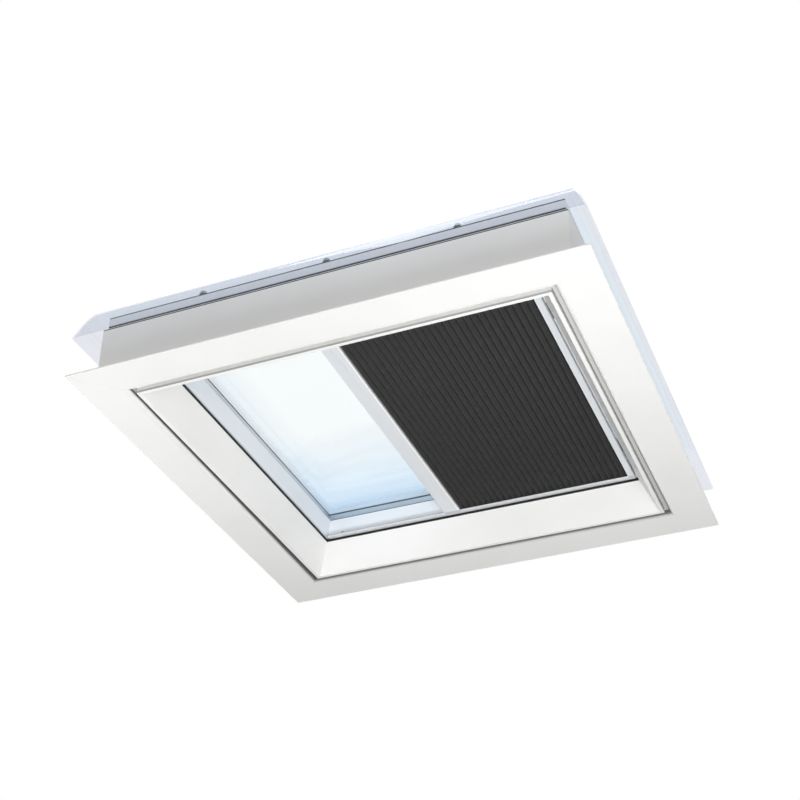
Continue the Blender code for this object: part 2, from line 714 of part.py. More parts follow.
def make_cover():
    """Clear dome with its flat rim and flared skirt, open below, drilled for the screws."""
    outer = cover_profile()
    inner = offset_profile(outer, COVER_WALL)
    rim_z = COVER_TOP_Z - SKIRT_HEIGHT
    inner[0] = (SKIRT_HALF - COVER_WALL, rim_z, SKIRT_CORNER_RADIUS - COVER_WALL)
    bm = bmesh.new()
    rings = []
    for half, z, radius in inner[::-1] + outer:
        rings.append([bm.verts.new((x, y, z)) for x, y in rounded_square(half, radius)])
    for ring, after in zip(rings, rings[1:]):
        count = len(ring)
        for i in range(count):
            j = (i + 1) % count
            bm.faces.new((ring[i], ring[j], after[j], after[i]))
    top = COVER_TOP_Z + DOME_RISE
    for ring, z in ((rings[0], top - COVER_WALL), (rings[-1], top)):
        pole = bm.verts.new((0.0, 0.0, z))
        for i, vert in enumerate(ring):
            bm.faces.new((vert, ring[(i + 1) % len(ring)], pole))
    cover = finish(bm, "dome_cover", "clear_cover", smooth=True)
    cut(cover, [screw_holes(COVER_Z - OVERRUN, COVER_TOP_Z + OVERRUN)])
    edge = SASH_OUTER_HALF - COVER_GASKET_SETBACK
    gasket = box_outline(
        edge - COVER_GASKET_WIDTH, TRIM_TOP_Z + GAP, edge, COVER_Z - GAP
    )
    square_ring("cover_gasket", gasket, "black_rubber")
    holes = screw_holes(TRIM_TOP_Z - OVERRUN, COVER_Z + OVERRUN)
    cut(bpy.data.objects["cover_gasket"], [holes])


def make_skylight():
    """Make the frame, the sash, the glass and the cover."""
    make_base_frame()
    make_insulation_core()
    make_frame_seals()
    make_sash()
    make_glass_unit()
    make_glazing_trim()
    make_cover()
    make_cover_screws()


# Gears and racks


def involute(base_radius, radius):
    """Involute function of the pressure angle at a radius."""
    angle = math.acos(min(base_radius / radius, 1.0))
    return math.tan(angle) - angle


def gear_outline(teeth, module, turn=0.0):
    """Outline of a spur gear about the origin, with a tooth on the turn direction."""
    pitch_radius = module * teeth / 2
    base = pitch_radius * math.cos(PRESSURE_ANGLE)
    tip = pitch_radius + ADDENDUM * module
    root = pitch_radius - DEDENDUM * module
    half_tooth = (math.pi * module / 2 - BACKLASH / 2) / (2 * pitch_radius)
    at_pitch = involute(base, pitch_radius)
    flank = []
    for share in (0.0, 0.5, 1.0):
        radius = max(base, root) + (tip - max(base, root)) * share
        flank.append((radius, half_tooth + at_pitch - involute(base, radius)))
    points = []
    for k in range(teeth):
        middle = turn + 2 * math.pi * k / teeth
        side = [(root, flank[0][1])] + flank
        for radius, angle in side:
            points.append((radius, middle - angle))
        for radius, angle in side[::-1]:
            points.append((radius, middle + angle))
    return [(r * math.cos(a), r * math.sin(a)) for r, a in points]


def make_gear(name, teeth, module, x, z, y0, y1, bore, turn, finish_name):
    """Make a spur gear on an axis along Y, with a round bore."""
    outline = [(x + u, z + v) for u, v in gear_outline(teeth, module, turn)]
    gear = prism(name, outline, y0, y1, along_y, finish_name, origin=(x, 0.0, z))
    hole = cutter(circle(x, z, bore, 12), y0 - OVERRUN, y1 + OVERRUN, along_y)
    return cut(gear, [hole])


def rack_teeth():
    """Toothed line of the rack, with a gap between teeth under the pinion at rest."""
    root_z = RACK_Z + RACK_BASE
    tip_z = PITCH_LINE_Z + ADDENDUM * DRIVE_MODULE
    slope = math.tan(PRESSURE_ANGLE)
    half_pitch_tooth = (PITCH / 2 - BACKLASH / 2) / 2
    half_root = half_pitch_tooth + (PITCH_LINE_Z - root_z) * slope
    half_tip = half_pitch_tooth - (tip_z - PITCH_LINE_Z) * slope
    shift = math.floor((SHAFT_X - RACK_START) / PITCH) + 0.5
    first = SHAFT_X - shift * PITCH
    points = [(first - PITCH / 2, root_z)]
    teeth = math.floor((RACK_END - RACK_START) / PITCH)
    for k in range(teeth):
        x = first + k * PITCH
        points += [
            (x - half_root, root_z),
            (x - half_tip, tip_z),
            (x + half_tip, tip_z),
            (x + half_root, root_z),
        ]
    return points + [(first + (teeth - 0.5) * PITCH, root_z)]


def make_rack(name, start, end):
    """Make a rack, whose long side faces are laid out a few teeth at a time."""
    line = rack_teeth()
    points_per_tooth = 4
    marks = list(range(0, len(line) - 1, points_per_tooth * RACK_FACET_TEETH))
    marks.append(len(line) - 1)
    bm = bmesh.new()
    top = [[bm.verts.new(along_y(x, z, y)) for x, z in line] for y in (start, end)]
    foot = [[bm.verts.new(along_y(line[i][0], RACK_Z, y)) for i in marks] for y in (start, end)]
    for i in range(len(line) - 1):
        bm.faces.new((top[0][i], top[0][i + 1], top[1][i + 1], top[1][i]))
    for k in range(len(marks) - 1):
        bm.faces.new((foot[0][k], foot[1][k], foot[1][k + 1], foot[0][k + 1]))
        for upper, lower in zip(top, foot):
            bm.faces.new(lower[k : k + 2] + upper[marks[k] : marks[k + 1] + 1][::-1])
    for i, k in ((0, 0), (-1, -1)):
        bm.faces.new((foot[0][k], top[0][i], top[1][i], foot[1][k]))
    return finish(bm, name, "grey_plastic")


# Blind


def side_outline(side):
    """Section of a side rail: a ledge under the cloth's edge and a web along the sash."""
    points = [
        (LEDGE_Y, LEDGE_Z),
        (rail_back(LEDGE_Z), LEDGE_Z),
        (rail_back(WEB_TOP), WEB_TOP),
        (rail_back(WEB_TOP) - SIDE_RAIL_WALL, WEB_TOP),
        (rail_back(LEDGE_TOP) - SIDE_RAIL_WALL, LEDGE_TOP),
        (LEDGE_Y, LEDGE_TOP),
    ]
    return [(side * y, z) for y, z in points]


def rail_screw_frame(side, x):
    """Matrix whose Z axis is square to the rail's web, at a screw's seat on the web."""
    z = LEDGE_Z + RAIL_SCREW_RISE
    seat = Vector((x, side * (rail_back(z) - SIDE_RAIL_WALL), z))
    inward = Vector((0.0, -side, -SASH_LEAN)).normalized()
    return Matrix.Translation(seat) @ inward.to_track_quat("Z", "Y").to_matrix().to_4x4()


def make_side_rails():
    """Rails along the near and far sides, each with a toothed rack on its ledge."""
    sash = bpy.data.objects["sash_frame"]
    head_top = GAP + RAIL_SCREW_HEAD_HEIGHT
    levels = (
        (RAIL_SCREW_RADIUS, -RAIL_SCREW_LENGTH),
        (RAIL_SCREW_RADIUS, GAP),
        (RAIL_SCREW_HEAD_RADIUS, GAP),
        (RAIL_SCREW_HEAD_RADIUS, head_top - RAIL_SCREW_BEVEL),
        (RAIL_SCREW_HEAD_RADIUS - RAIL_SCREW_BEVEL, head_top),
    )
    hole = circle(0.0, 0.0, RAIL_SCREW_RADIUS + GAP, 8)
    depth = RAIL_SCREW_LENGTH + OVERRUN
    for word, side in SIDES:
        half = SIDE_RAIL_HALF_LENGTH
        rail = prism(
            f"side_rail_{word}", side_outline(side), -half, half, along_x, "silver"
        )
        for end, x in (("left", -RAIL_SCREW_X), ("right", RAIL_SCREW_X)):
            place = rail_screw_frame(side, x)
            for pierced in (rail, sash):
                drill = cutter(hole, -depth, RAIL_SCREW_BEVEL, along_z)
                drill.data.transform(metres(place))
                cut(pierced, [drill])
            turned(f"rail_screw_{word}_{end}", levels, place, "steel")
        start, stop = sorted((side * PINION_Y, side * (PINION_Y + DRIVE_FACE)))
        make_rack(f"rack_{word}", start, stop)


def metres(place):
    """The same placing for a mesh that is already in metres."""
    moved = place.copy()
    moved.translation = place.translation * MM
    return moved


def rail_corner(u, v, start):
    """Three points that round a corner, from a starting quarter turn."""
    return [
        (
            u + RAIL_CORNER * math.cos(start + math.pi / 4 * i),
            v + RAIL_CORNER * math.sin(start + math.pi / 4 * i),
        )
        for i in range(3)
    ]


def strip_recess(face, inward):
    """Points of the recess in a face that holds a cloth strip, from low to high."""
    low, high = STRIP_Z - GAP, STRIP_TOP + GAP
    back = face + inward * STRIP_RECESS_DEPTH
    return [(face, low), (back, low), (back, high), (face, high)]


def bar_outline(recessed=True):
    """Outer section of the front bar, with a recess for the cloth's strip and the bumper."""
    low_corner = BAR_Z + RAIL_CORNER
    high_corner = BAR_TOP - RAIL_CORNER
    points = rail_corner(BAR_X + RAIL_CORNER, low_corner, math.pi)
    points += rail_corner(BAR_RIGHT - RAIL_CORNER, low_corner, 1.5 * math.pi)
    if recessed:
        points += strip_recess(BAR_RIGHT, -1)
    points += [(BAR_RIGHT, BAR_TOP), (BAR_X + RAIL_CORNER, BAR_TOP), (BAR_X, high_corner)]
    if recessed:
        low, high = BUMPER_Z, BUMPER_Z + BUMPER_HEIGHT
        back = BAR_X + BUMPER_DEPTH
        points += [(BAR_X, high), (back, high), (back, low), (BAR_X, low)]
    return points


def bar_hollow(clearance=0.0):
    """Inner section of the front bar, or of a plug that fits in it."""
    return box_outline(
        HOLLOW_X + clearance,
        HOLLOW_Z + clearance,
        HOLLOW_RIGHT - clearance,
        HOLLOW_TOP - clearance,
    )


def end_cap(name, outline, hollow, side):
    """Cap with a plug, a slot that takes the ledge, and a toe that covers it from below."""
    toe_end = CAP_INNER_END + CAP_TOE
    shoulder_end = CAP_INNER_END + CAP_SHOULDER
    toe_top = BAR_Z + CAP_TOE_THICKNESS
    slot_top = LEDGE_TOP + CAP_SLOT_CLEARANCE
    xs = [u for u, v in outline]
    low, high = min(xs) - OVERRUN, max(xs) + OVERRUN
    cap = prism(name, outline, side * CAP_Y, side * toe_end, along_y, "grey_plastic")
    slot = box_outline(low, toe_top, high, slot_top)
    above = box_outline(low, slot_top - OVERRUN, high, BAR_TOP + OVERRUN)
    ends = (side * CAP_INNER_END, side * (toe_end + OVERRUN))
    upper_ends = (side * shoulder_end, side * (toe_end + OVERRUN))
    cap = cut(cap, [cutter(slot, *ends, along_y), cutter(above, *upper_ends, along_y)])
    plug_start = side * (CAP_Y - PLUG_DEPTH)
    plug = cutter(hollow, plug_start, side * (CAP_Y + OVERRUN), along_y)
    return cut(cap, [plug], "UNION")


def make_front_bar():
    """Tube of the front bar, its end caps with bushes, the cloth's strip and the bumper."""
    bar = prism(
        "bar_profile", bar_outline(), -BAR_HALF_LENGTH, BAR_HALF_LENGTH, along_y, "silver"
    )
    end = BAR_HALF_LENGTH + OVERRUN
    cut(bar, [cutter(bar_hollow(), -end, end, along_y)])
    cap_outline = bar_outline(recessed=False)
    shoulder_end = CAP_INNER_END + CAP_SHOULDER
    plug_start = CAP_Y - PLUG_DEPTH
    for word, side in SIDES:
        cap = end_cap(f"bar_end_cap_{word}", cap_outline, bar_hollow(GAP), side)
        hole = circle(SHAFT_X, SHAFT_Z, BUSH_RADIUS + GAP, 16)
        ends = (side * (plug_start - OVERRUN), side * (shoulder_end + OVERRUN))
        cut(cap, [cutter(hole, *ends, along_y)])
        make_bush(f"shaft_bush_{word}", side * plug_start, side * shoulder_end)
    make_strip("bar_cloth_strip", BAR_RIGHT, -1)
    back = BAR_X + BUMPER_DEPTH - GAP
    bumper_top = BUMPER_Z + BUMPER_HEIGHT - GAP
    bumper = box_outline(BAR_X - BUMPER_REACH, BUMPER_Z + GAP, back, bumper_top)
    prism(
        "bar_bumper", bumper, -BAR_HALF_LENGTH, BAR_HALF_LENGTH, along_y, "grey_plastic"
    )


def make_bush(name, start, end):
    """Bearing bush round the shaft."""
    bush = prism(
        name, circle(SHAFT_X, SHAFT_Z, BUSH_RADIUS, 16), start, end, along_y, "brass"
    )
    low, high = sorted((start, end))
    bore = circle(SHAFT_X, SHAFT_Z, SHAFT_RADIUS + GAP, 12)
    cut(bush, [cutter(bore, low - OVERRUN, high + OVERRUN, along_y)])


def make_strip(name, face, inward):
    """Strip that holds the cloth's end, in a recess behind a face of a rail."""
    front = face + inward * GAP
    back = front + inward * STRIP_THICKNESS
    outline = box_outline(front, STRIP_Z, back, STRIP_TOP)
    prism(name, outline, -BAR_HALF_LENGTH, BAR_HALF_LENGTH, along_y, "grey_plastic")


def head_outline(recessed=True):
    """Outer section of the head rail: square in front, stepped to clear the sash behind."""
    right = HEAD_X + HEAD_WIDTH
    top_right = HEAD_X + HEAD_TOP_WIDTH
    step_z = BAR_Z + HEAD_STEP_HEIGHT
    points = [
        (HEAD_X, BAR_Z),
        (right - RAIL_CORNER, BAR_Z),
        (right, BAR_Z + RAIL_CORNER),
        (right, step_z - HEAD_STEP_RISE),
        (top_right, step_z),
        (top_right, BAR_TOP),
        (HEAD_X, BAR_TOP),
    ]
    if recessed:
        points += strip_recess(HEAD_X, 1)[::-1]
    return points


def head_hollow(clearance=0.0):
    """Inner section of the head rail, or of a plug that fits in it."""
    left = HEAD_X + STRIP_RECESS_DEPTH + RAIL_WALL + clearance
    right = HEAD_X + HEAD_WIDTH - RAIL_WALL - clearance
    top_right = HEAD_X + HEAD_TOP_WIDTH - RAIL_WALL - clearance
    low = HOLLOW_Z + clearance
    top = HOLLOW_TOP - clearance
    step_z = BAR_Z + HEAD_STEP_HEIGHT - RAIL_WALL / 2
    return [
        (left, low),
        (right, low),
        (right, step_z - HEAD_STEP_RISE),
        (top_right, step_z),
        (top_right, top),
        (left, top),
    ]


def make_head_rail():
    """Fixed rail with its end caps, the cloth's strip and the brackets behind it."""
    rail = prism(
        "head_rail", head_outline(), -BAR_HALF_LENGTH, BAR_HALF_LENGTH, along_y, "silver"
    )
    end = BAR_HALF_LENGTH + OVERRUN
    cut(rail, [cutter(head_hollow(), -end, end, along_y)])
    for word, side in SIDES:
        outline = head_outline(recessed=False)
        end_cap(f"head_end_cap_{word}", outline, head_hollow(GAP), side)
    make_strip("head_cloth_strip", HEAD_X, 1)
    make_brackets()


def make_brackets():
    """Brackets that carry the head rail on the sash's leaning wall."""
    low, high = BAR_Z + HEAD_STEP_HEIGHT + BRACKET_STEP_GAP, BAR_TOP
    front = HEAD_X + HEAD_TOP_WIDTH + GAP
    outline = [
        (front, low),
        (sash_wall(low) - GAP, low),
        (sash_wall(high) - GAP, high),
        (front, high),
    ]
    for word, side in SIDES:
        middle = side * BRACKET_Y
        start, end = middle - BRACKET_LENGTH / 2, middle + BRACKET_LENGTH / 2
        prism(f"head_bracket_{word}", outline, start, end, along_y, "steel")


def make_drive():
    """Shaft with its pinions and gear, the motor with its pinion, and what feeds it."""
    end = PINION_Y + DRIVE_FACE
    axis = (SHAFT_X, 0.0, SHAFT_Z)
    shaft = circle(SHAFT_X, SHAFT_Z, SHAFT_RADIUS, 12)
    prism("drive_shaft", shaft, -end, end, along_y, "steel", origin=axis, smooth=True)
    down = -math.pi / 2
    bore = SHAFT_RADIUS + GAP
    for word, side in SIDES:
        start, stop = sorted((side * PINION_Y, side * end))
        make_gear(
            f"drive_pinion_{word}",
            DRIVE_PINION_TEETH,
            DRIVE_MODULE,
            SHAFT_X,
            SHAFT_Z,
            start,
            stop,
            bore,
            down,
            "grey_plastic",
        )
    stop = GEAR_Y + GEAR_FACE
    make_gear(
        "shaft_gear", SHAFT_GEAR_TEETH, GEAR_MODULE, SHAFT_X, SHAFT_Z, GEAR_Y, stop,
        bore, 0.0, "grey_plastic",
    )
    gap_turn = math.pi + math.pi / MOTOR_PINION_TEETH
    make_gear(
        "motor_pinion", MOTOR_PINION_TEETH, GEAR_MODULE, MOTOR_X, SHAFT_Z, GEAR_Y, stop,
        SPINDLE_RADIUS + GAP, gap_turn, "brass",
    )
    make_motor(stop)


def make_motor(gear_end):
    """Geared motor with a front boss, its spindle and the two cradles under it."""
    spindle = circle(MOTOR_X, SHAFT_Z, SPINDLE_RADIUS, 12)
    spindle_end = gear_end + SPINDLE_PROUD
    prism(
        "motor_spindle",
        spindle,
        spindle_end - SPINDLE_LENGTH,
        spindle_end,
        along_y,
        "steel",
        origin=(MOTOR_X, 0.0, SHAFT_Z),
    )
    front = GEAR_Y - MOTOR_BOSS_LENGTH - 2 * GAP
    back = front - MOTOR_LENGTH
    can = circle(MOTOR_X, SHAFT_Z, MOTOR_RADIUS, 24)
    body = prism("motor_body", can, back, front, along_y, "motor_can")
    boss = circle(MOTOR_X, SHAFT_Z, MOTOR_BOSS_RADIUS, 16)
    boss_end = front + MOTOR_BOSS_LENGTH
    cut(body, [cutter(boss, front - OVERRUN, boss_end, along_y)], "UNION")
    bore = circle(MOTOR_X, SHAFT_Z, SPINDLE_RADIUS + GAP, 12)
    bore_start = spindle_end - SPINDLE_LENGTH - 2 * GAP
    cut(body, [cutter(bore, bore_start, boss_end + OVERRUN, along_y)])
    make_cradle((back + front) / 2)


def make_cradle(middle):
    """Cradle under the motor: two saddles joined by a floor strip."""
    foot = MOTOR_RADIUS - GAP
    half = (CRADLE_SPACING + CRADLE_LENGTH) / 2
    block = box_outline(MOTOR_X - foot, FLOOR_Z, MOTOR_X + foot, FLOOR_Z + CRADLE_HEIGHT)
    cradle = prism(
        "motor_cradle", block, middle - half, middle + half, along_y, "grey_plastic"
    )
    seat = circle(MOTOR_X, SHAFT_Z, MOTOR_RADIUS + GAP, 24)
    ends = (middle - half - OVERRUN, middle + half + OVERRUN)
    floor_top = FLOOR_Z + CRADLE_FLOOR
    reach = foot + OVERRUN
    between = box_outline(
        MOTOR_X - reach, floor_top, MOTOR_X + reach, floor_top + CRADLE_HEIGHT
    )
    inner_half = (CRADLE_SPACING - CRADLE_LENGTH) / 2
    inner_ends = (middle - inner_half, middle + inner_half)
    cut(cradle, [cutter(seat, *ends, along_y), cutter(between, *inner_ends, along_y)])


def make_power():
    """Stick of cells in one sleeve, its tray and the receiver board."""
    reach = CELL_RADIUS + GAP + TRAY_WALL
    x = HOLLOW_RIGHT - TRAY_SIDE_CLEARANCE - reach
    z = FLOOR_Z + reach
    step = CELL_LENGTH + CELL_NECK_LENGTH
    levels = []
    for k in range(CELL_COUNT):
        start = k * step
        levels += [
            (CELL_NECK_RADIUS, start),
            (CELL_RADIUS, start + CELL_NECK_LENGTH),
            (CELL_RADIUS, start + CELL_LENGTH - CELL_NECK_LENGTH),
            (CELL_NECK_RADIUS, start + CELL_LENGTH),
        ]
    place = Matrix.Translation((x, CELL_START_Y, z))
    place = place @ Matrix.Rotation(-math.pi / 2, 4, "X")
    turned("battery_pack", levels, place, "cell_wrap", 16)
    seat_start = CELL_START_Y - GAP
    seat_stop = CELL_START_Y + CELL_COUNT * step - CELL_NECK_LENGTH + GAP
    block = box_outline(x - reach, FLOOR_Z, x + reach, z)
    ends = (seat_start - TRAY_END_WALL, seat_stop + TRAY_END_WALL)
    tray = prism("battery_tray", block, *ends, along_y, "grey_plastic")
    seat = circle(x, z, CELL_RADIUS + GAP, 16)
    cut(tray, [cutter(seat, seat_start, seat_stop, along_y)])
    make_board()


def make_board():
    """Receiver board with three parts soldered on it."""
    middle = (HOLLOW_X + HOLLOW_RIGHT) / 2
    left, right = middle - BOARD_WIDTH / 2, middle + BOARD_WIDTH / 2
    outline = box_outline(left, BOARD_Y, right, BOARD_Y + BOARD_LENGTH)
    top = FLOOR_Z + BOARD_THICKNESS
    board = prism("receiver_board", outline, FLOOR_Z, top, along_z, "board")
    for along, up, width, length, height in BOARD_PARTS:
        x, y = left + along, BOARD_Y + up
        chip = box_outline(x, y, x + width, y + length)
        cut(board, [cutter(chip, top - GAP, top + height, along_z)], "UNION")


def cloth_outline(start, pitch):
    """Outer section of the honeycomb: two zigzags that meet at the glue lines."""
    middle = CLOTH_Z + CELL_HEIGHT / 2
    low, high = [], []
    for k in range(PLEATS):
        ridge = start + k * pitch
        low += [(ridge, CLOTH_Z), (ridge + pitch / 2, middle - GLUE_HEIGHT / 2)]
        high += [
            (ridge, CLOTH_Z + CELL_HEIGHT),
            (ridge + pitch / 2, middle + GLUE_HEIGHT / 2),
        ]
    end = start + PLEATS * pitch
    low.append((end, CLOTH_Z))
    high.append((end, CLOTH_Z + CELL_HEIGHT))
    return low + high[::-1]


def cloth_cells(start, pitch):
    """Section of each open cell, with a half cell at both ends."""
    middle = CLOTH_Z + CELL_HEIGHT / 2
    slope = CELL_HEIGHT / pitch
    rise = CLOTH_WALL * math.hypot(1.0, slope)
    reach = (CELL_HEIGHT / 2 - rise) / slope
    low, high = CLOTH_Z + rise, CLOTH_Z + CELL_HEIGHT - rise
    cells = []
    for k in range(1, PLEATS):
        x = start + k * pitch
        cells.append([(x - reach, middle), (x, low), (x + reach, middle), (x, high)])
    for x, inward in ((start, 1), (start + PLEATS * pitch, -1)):
        wall = x + inward * CLOTH_WALL
        drop = CLOTH_WALL * slope
        cells.append(
            [(wall, low + drop), (x + inward * reach, middle), (wall, high - drop)]
        )
    return cells


def make_cloth():
    """Honeycomb cloth from the front bar to the head rail, its cells open at both sides."""
    start = BAR_RIGHT + GAP
    pitch = (HEAD_X - GAP - start) / PLEATS
    half = CLOTH_HALF_WIDTH
    outline = cloth_outline(start, pitch)
    cloth = prism("honeycomb_cloth", outline, -half, half, along_y, "dark_cloth")
    end = half + OVERRUN
    cells = [(cell, -end, end, along_y) for cell in cloth_cells(start, pitch)]
    cut(cloth, [cutters_in_one(cells)])


def make_blind():
    """Make the rails, the bar with its drive, and the cloth."""
    make_side_rails()
    make_head_rail()
    make_front_bar()
    make_drive()
    make_power()
    make_cloth()


def main():
    """Clear the scene, then make the skylight and its blind."""
    clear_scene()
    make_skylight()
    make_blind()


main()
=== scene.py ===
"""Looks of a flat-roof skylight with a motor-driven honeycomb blind, half closed.

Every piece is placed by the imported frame, in metres: +X points to the blind's fixed head
rail, +Y to the far side and +Z up. The flange's underside lies at height zero.
"""

import json
import logging
import math
from dataclasses import dataclass
from enum import Enum

import bmesh
import bpy
from mathutils import Matrix, Vector

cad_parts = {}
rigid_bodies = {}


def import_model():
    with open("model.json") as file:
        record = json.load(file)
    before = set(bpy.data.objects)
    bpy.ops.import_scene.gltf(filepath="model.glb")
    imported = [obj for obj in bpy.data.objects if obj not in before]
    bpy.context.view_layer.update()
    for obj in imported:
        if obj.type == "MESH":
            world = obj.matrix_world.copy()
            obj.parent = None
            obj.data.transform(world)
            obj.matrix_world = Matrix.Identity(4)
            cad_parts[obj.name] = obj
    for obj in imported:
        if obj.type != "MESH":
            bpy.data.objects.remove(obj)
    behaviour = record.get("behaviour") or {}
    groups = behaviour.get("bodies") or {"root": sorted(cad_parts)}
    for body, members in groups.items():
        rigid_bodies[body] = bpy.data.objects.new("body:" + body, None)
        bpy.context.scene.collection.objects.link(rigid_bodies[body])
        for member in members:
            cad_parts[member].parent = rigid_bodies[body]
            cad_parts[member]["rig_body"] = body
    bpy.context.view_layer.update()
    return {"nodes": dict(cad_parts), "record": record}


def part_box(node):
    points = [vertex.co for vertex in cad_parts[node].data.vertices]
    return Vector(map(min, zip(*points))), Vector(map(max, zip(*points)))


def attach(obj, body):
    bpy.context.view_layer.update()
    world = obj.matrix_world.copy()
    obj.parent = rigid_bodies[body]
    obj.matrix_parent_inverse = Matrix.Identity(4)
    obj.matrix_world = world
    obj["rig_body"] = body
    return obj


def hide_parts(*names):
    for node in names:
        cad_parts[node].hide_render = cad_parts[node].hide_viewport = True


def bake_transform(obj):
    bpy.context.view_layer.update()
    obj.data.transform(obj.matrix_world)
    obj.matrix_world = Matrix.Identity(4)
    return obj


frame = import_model()

log = logging.getLogger("skylight")

Colour = tuple[float, float, float]
Point = tuple[float, float]
Point3 = tuple[float, float, float]
Socket = bpy.types.NodeSocket
Sockets = dict[str, Socket]
Value = float | Socket

MM = 0.001
QUARTER = math.pi / 2
SEED = 7
WHITE = (1.0, 1.0, 1.0)

# The display curve: a straight foot, then a power.
FULL_LEVEL, FOOT_END, FOOT_SLOPE, SHIFT, POWER = 255, 0.04045, 12.92, 0.055, 2.4

# Points nearer than this count as one, or as lying on a ring's mitre.
CAD_REACH = 0.002 * MM
TURNED_REACH = 1e-7
MITRE_REACH = 0.01 * MM

# Faces that turn by less are one flat face. Edges that turn by more are rounded or sharp.
FLAT_ANGLE = math.radians(0.4)
ROUNDED_ANGLE = math.radians(32)
SHARP_DEGREES = 38.0

# Scale of a pattern along a drawn profile, beside its scale across, and the range that
# noise seldom leaves.
LINE_STRETCH = 0.012
NOISE_SPAN = (0.3, 0.7)

# Numbers of sockets whose names repeat on their node: both colours and the result of a
# mix, and a random value's highest and its result.
MIX_LOW, MIX_HIGH, MIXED = 6, 7, 2
RANDOM_MOST, RANDOM = 3, 1


class Body(str, Enum):
    """CAD bodies that new pieces ride on by name."""

    ROOT = "root"
    FRONT_BAR = "front_bar"


class Run(Enum):
    """Direction in which a profile came out of its die, as the scale of its lines."""

    RING = None
    ALONG_X = (LINE_STRETCH, 1.0, 1.0)
    ALONG_Y = (1.0, LINE_STRETCH, 1.0)


def tone(red: int, green: int, blue: int) -> Colour:
    """Turn a display colour into the linear colour that a shader takes.

    Args:
        red: Red, from 0 to 255.
        green: Green, from 0 to 255.
        blue: Blue, from 0 to 255.

    Returns:
        The three linear channels.
    """

    def linear(level: int) -> float:
        """Linear value of one display level."""
        share = level / FULL_LEVEL
        return share / FOOT_SLOPE if share <= FOOT_END else ((share + SHIFT) / (1 + SHIFT)) ** POWER

    return linear(red), linear(green), linear(blue)


def opaque(colour: Colour) -> tuple[float, float, float, float]:
    """The colour with full alpha, as a colour socket takes it."""
    return (*colour, 1.0)


class Graph:
    """Adds nodes and links to one node tree."""

    def __init__(self, tree: bpy.types.NodeTree) -> None:
        """Keep the tree that the nodes go into."""
        self.tree = tree

    def fill(self, node: bpy.types.Node, inputs: dict) -> bpy.types.Node:
        """Set or link a node's inputs.

        Args:
            node: The node.
            inputs: Value or source socket for each input, by its name or number.

        Returns:
            The node.
        """
        for key, value in inputs.items():
            if isinstance(value, Socket):
                self.tree.links.new(value, node.inputs[key])
            else:
                node.inputs[key].default_value = value
        return node

    def node(self, kind: str, inputs: dict | None = None, **settings: object) -> bpy.types.Node:
        """Add a node.

        Args:
            kind: Type name of the node.
            inputs: Value or source socket for each input, by its name or number.
            settings: Attributes of the node, such as its operation.

        Returns:
            The new node.
        """
        made = self.tree.nodes.new(kind)
        for name, value in settings.items():
            setattr(made, name, value)
        return self.fill(made, inputs or {})

    def out(self, kind: str, inputs: dict | None = None, **settings: object) -> Socket:
        """Add a node as node() does, and return its first output."""
        return self.node(kind, inputs, **settings).outputs[0]

    def calc(self, operation: str, first: Value, second: Value = 0.0) -> Socket:
        """Add a math node with an operation, and return its result."""
        return self.out("ShaderNodeMath", {0: first, 1: second}, operation=operation)

    def times(self, first: Value, second: Value) -> Socket:
        """Add a product of two values."""
        return self.calc("MULTIPLY", first, second)

    def inside(self, value: Socket, low: Value, high: Value) -> Socket:
        """Add a mask of where a value lies between two others."""
        above = self.calc("GREATER_THAN", value, low)
        return self.times(above, self.calc("LESS_THAN", value, high))

    def either(self, mask: Socket, off: Socket, on: Socket) -> Socket:
        """Add a choice of two values by a mask."""
        kept = self.times(off, self.calc("SUBTRACT", 1.0, mask))
        return self.calc("ADD", kept, self.times(on, mask))

    def scaled(
        self, value: Value, low: Value, high: Value, to_low: Value, to_high: Value
    ) -> Socket:
        """Add a clamped map of a value from one range to another.

        Args:
            value: The socket to map.
            low: Start of the range that comes in.
            high: End of the range that comes in.
            to_low: What the start becomes.
            to_high: What the end becomes.

        Returns:
            The socket with the mapped value.
        """
        inputs = {0: value, 1: low, 2: high, 3: to_low, 4: to_high}
        return self.out("ShaderNodeMapRange", inputs, clamp=True)

    def between(self, share: Value, low: Colour | Socket, high: Colour) -> Socket:
        """Add a mix of two colours.

        Args:
            share: Share of the second colour.
            low: First colour, or the socket that gives it.
            high: Second colour.

        Returns:
            The socket with the mixed colour.
        """
        first = low if isinstance(low, Socket) else opaque(low)
        inputs = {0: share, MIX_LOW: first, MIX_HIGH: opaque(high)}
        return self.node("ShaderNodeMix", inputs, data_type="RGBA").outputs[MIXED]

    def relief(self, height: Socket, depth: float) -> Socket:
        """Add a bump node for a height, and return its normal."""
        inputs = {"Height": height, "Distance": depth, "Strength": 1.0}
        return self.out("ShaderNodeBump", inputs)

    def place(self) -> Socket:
        """Add the piece's own coordinates."""
        return self.node("ShaderNodeTexCoord").outputs["Object"]

    def axis(self, name: str) -> Socket:
        """Add one axis of the piece's own coordinates."""
        return self.node("ShaderNodeSeparateXYZ", {0: self.place()}).outputs[name]

    def noise(self, place: Socket, scale: Value, detail: float = 2.0, **more: float) -> Socket:
        """Add noise over coordinates. More inputs go by their names."""
        inputs = {"Vector": place, "Scale": scale, "Detail": detail}
        return self.out("ShaderNodeTexNoise", inputs | more)

    def mapped(self, place: Socket, scale: Point3, turn: Point3 = (0.0, 0.0, 0.0)) -> Socket:
        """Add a turn and a scale of coordinates."""
        inputs = {"Vector": place, "Rotation": turn, "Scale": scale}
        return self.out("ShaderNodeMapping", inputs)


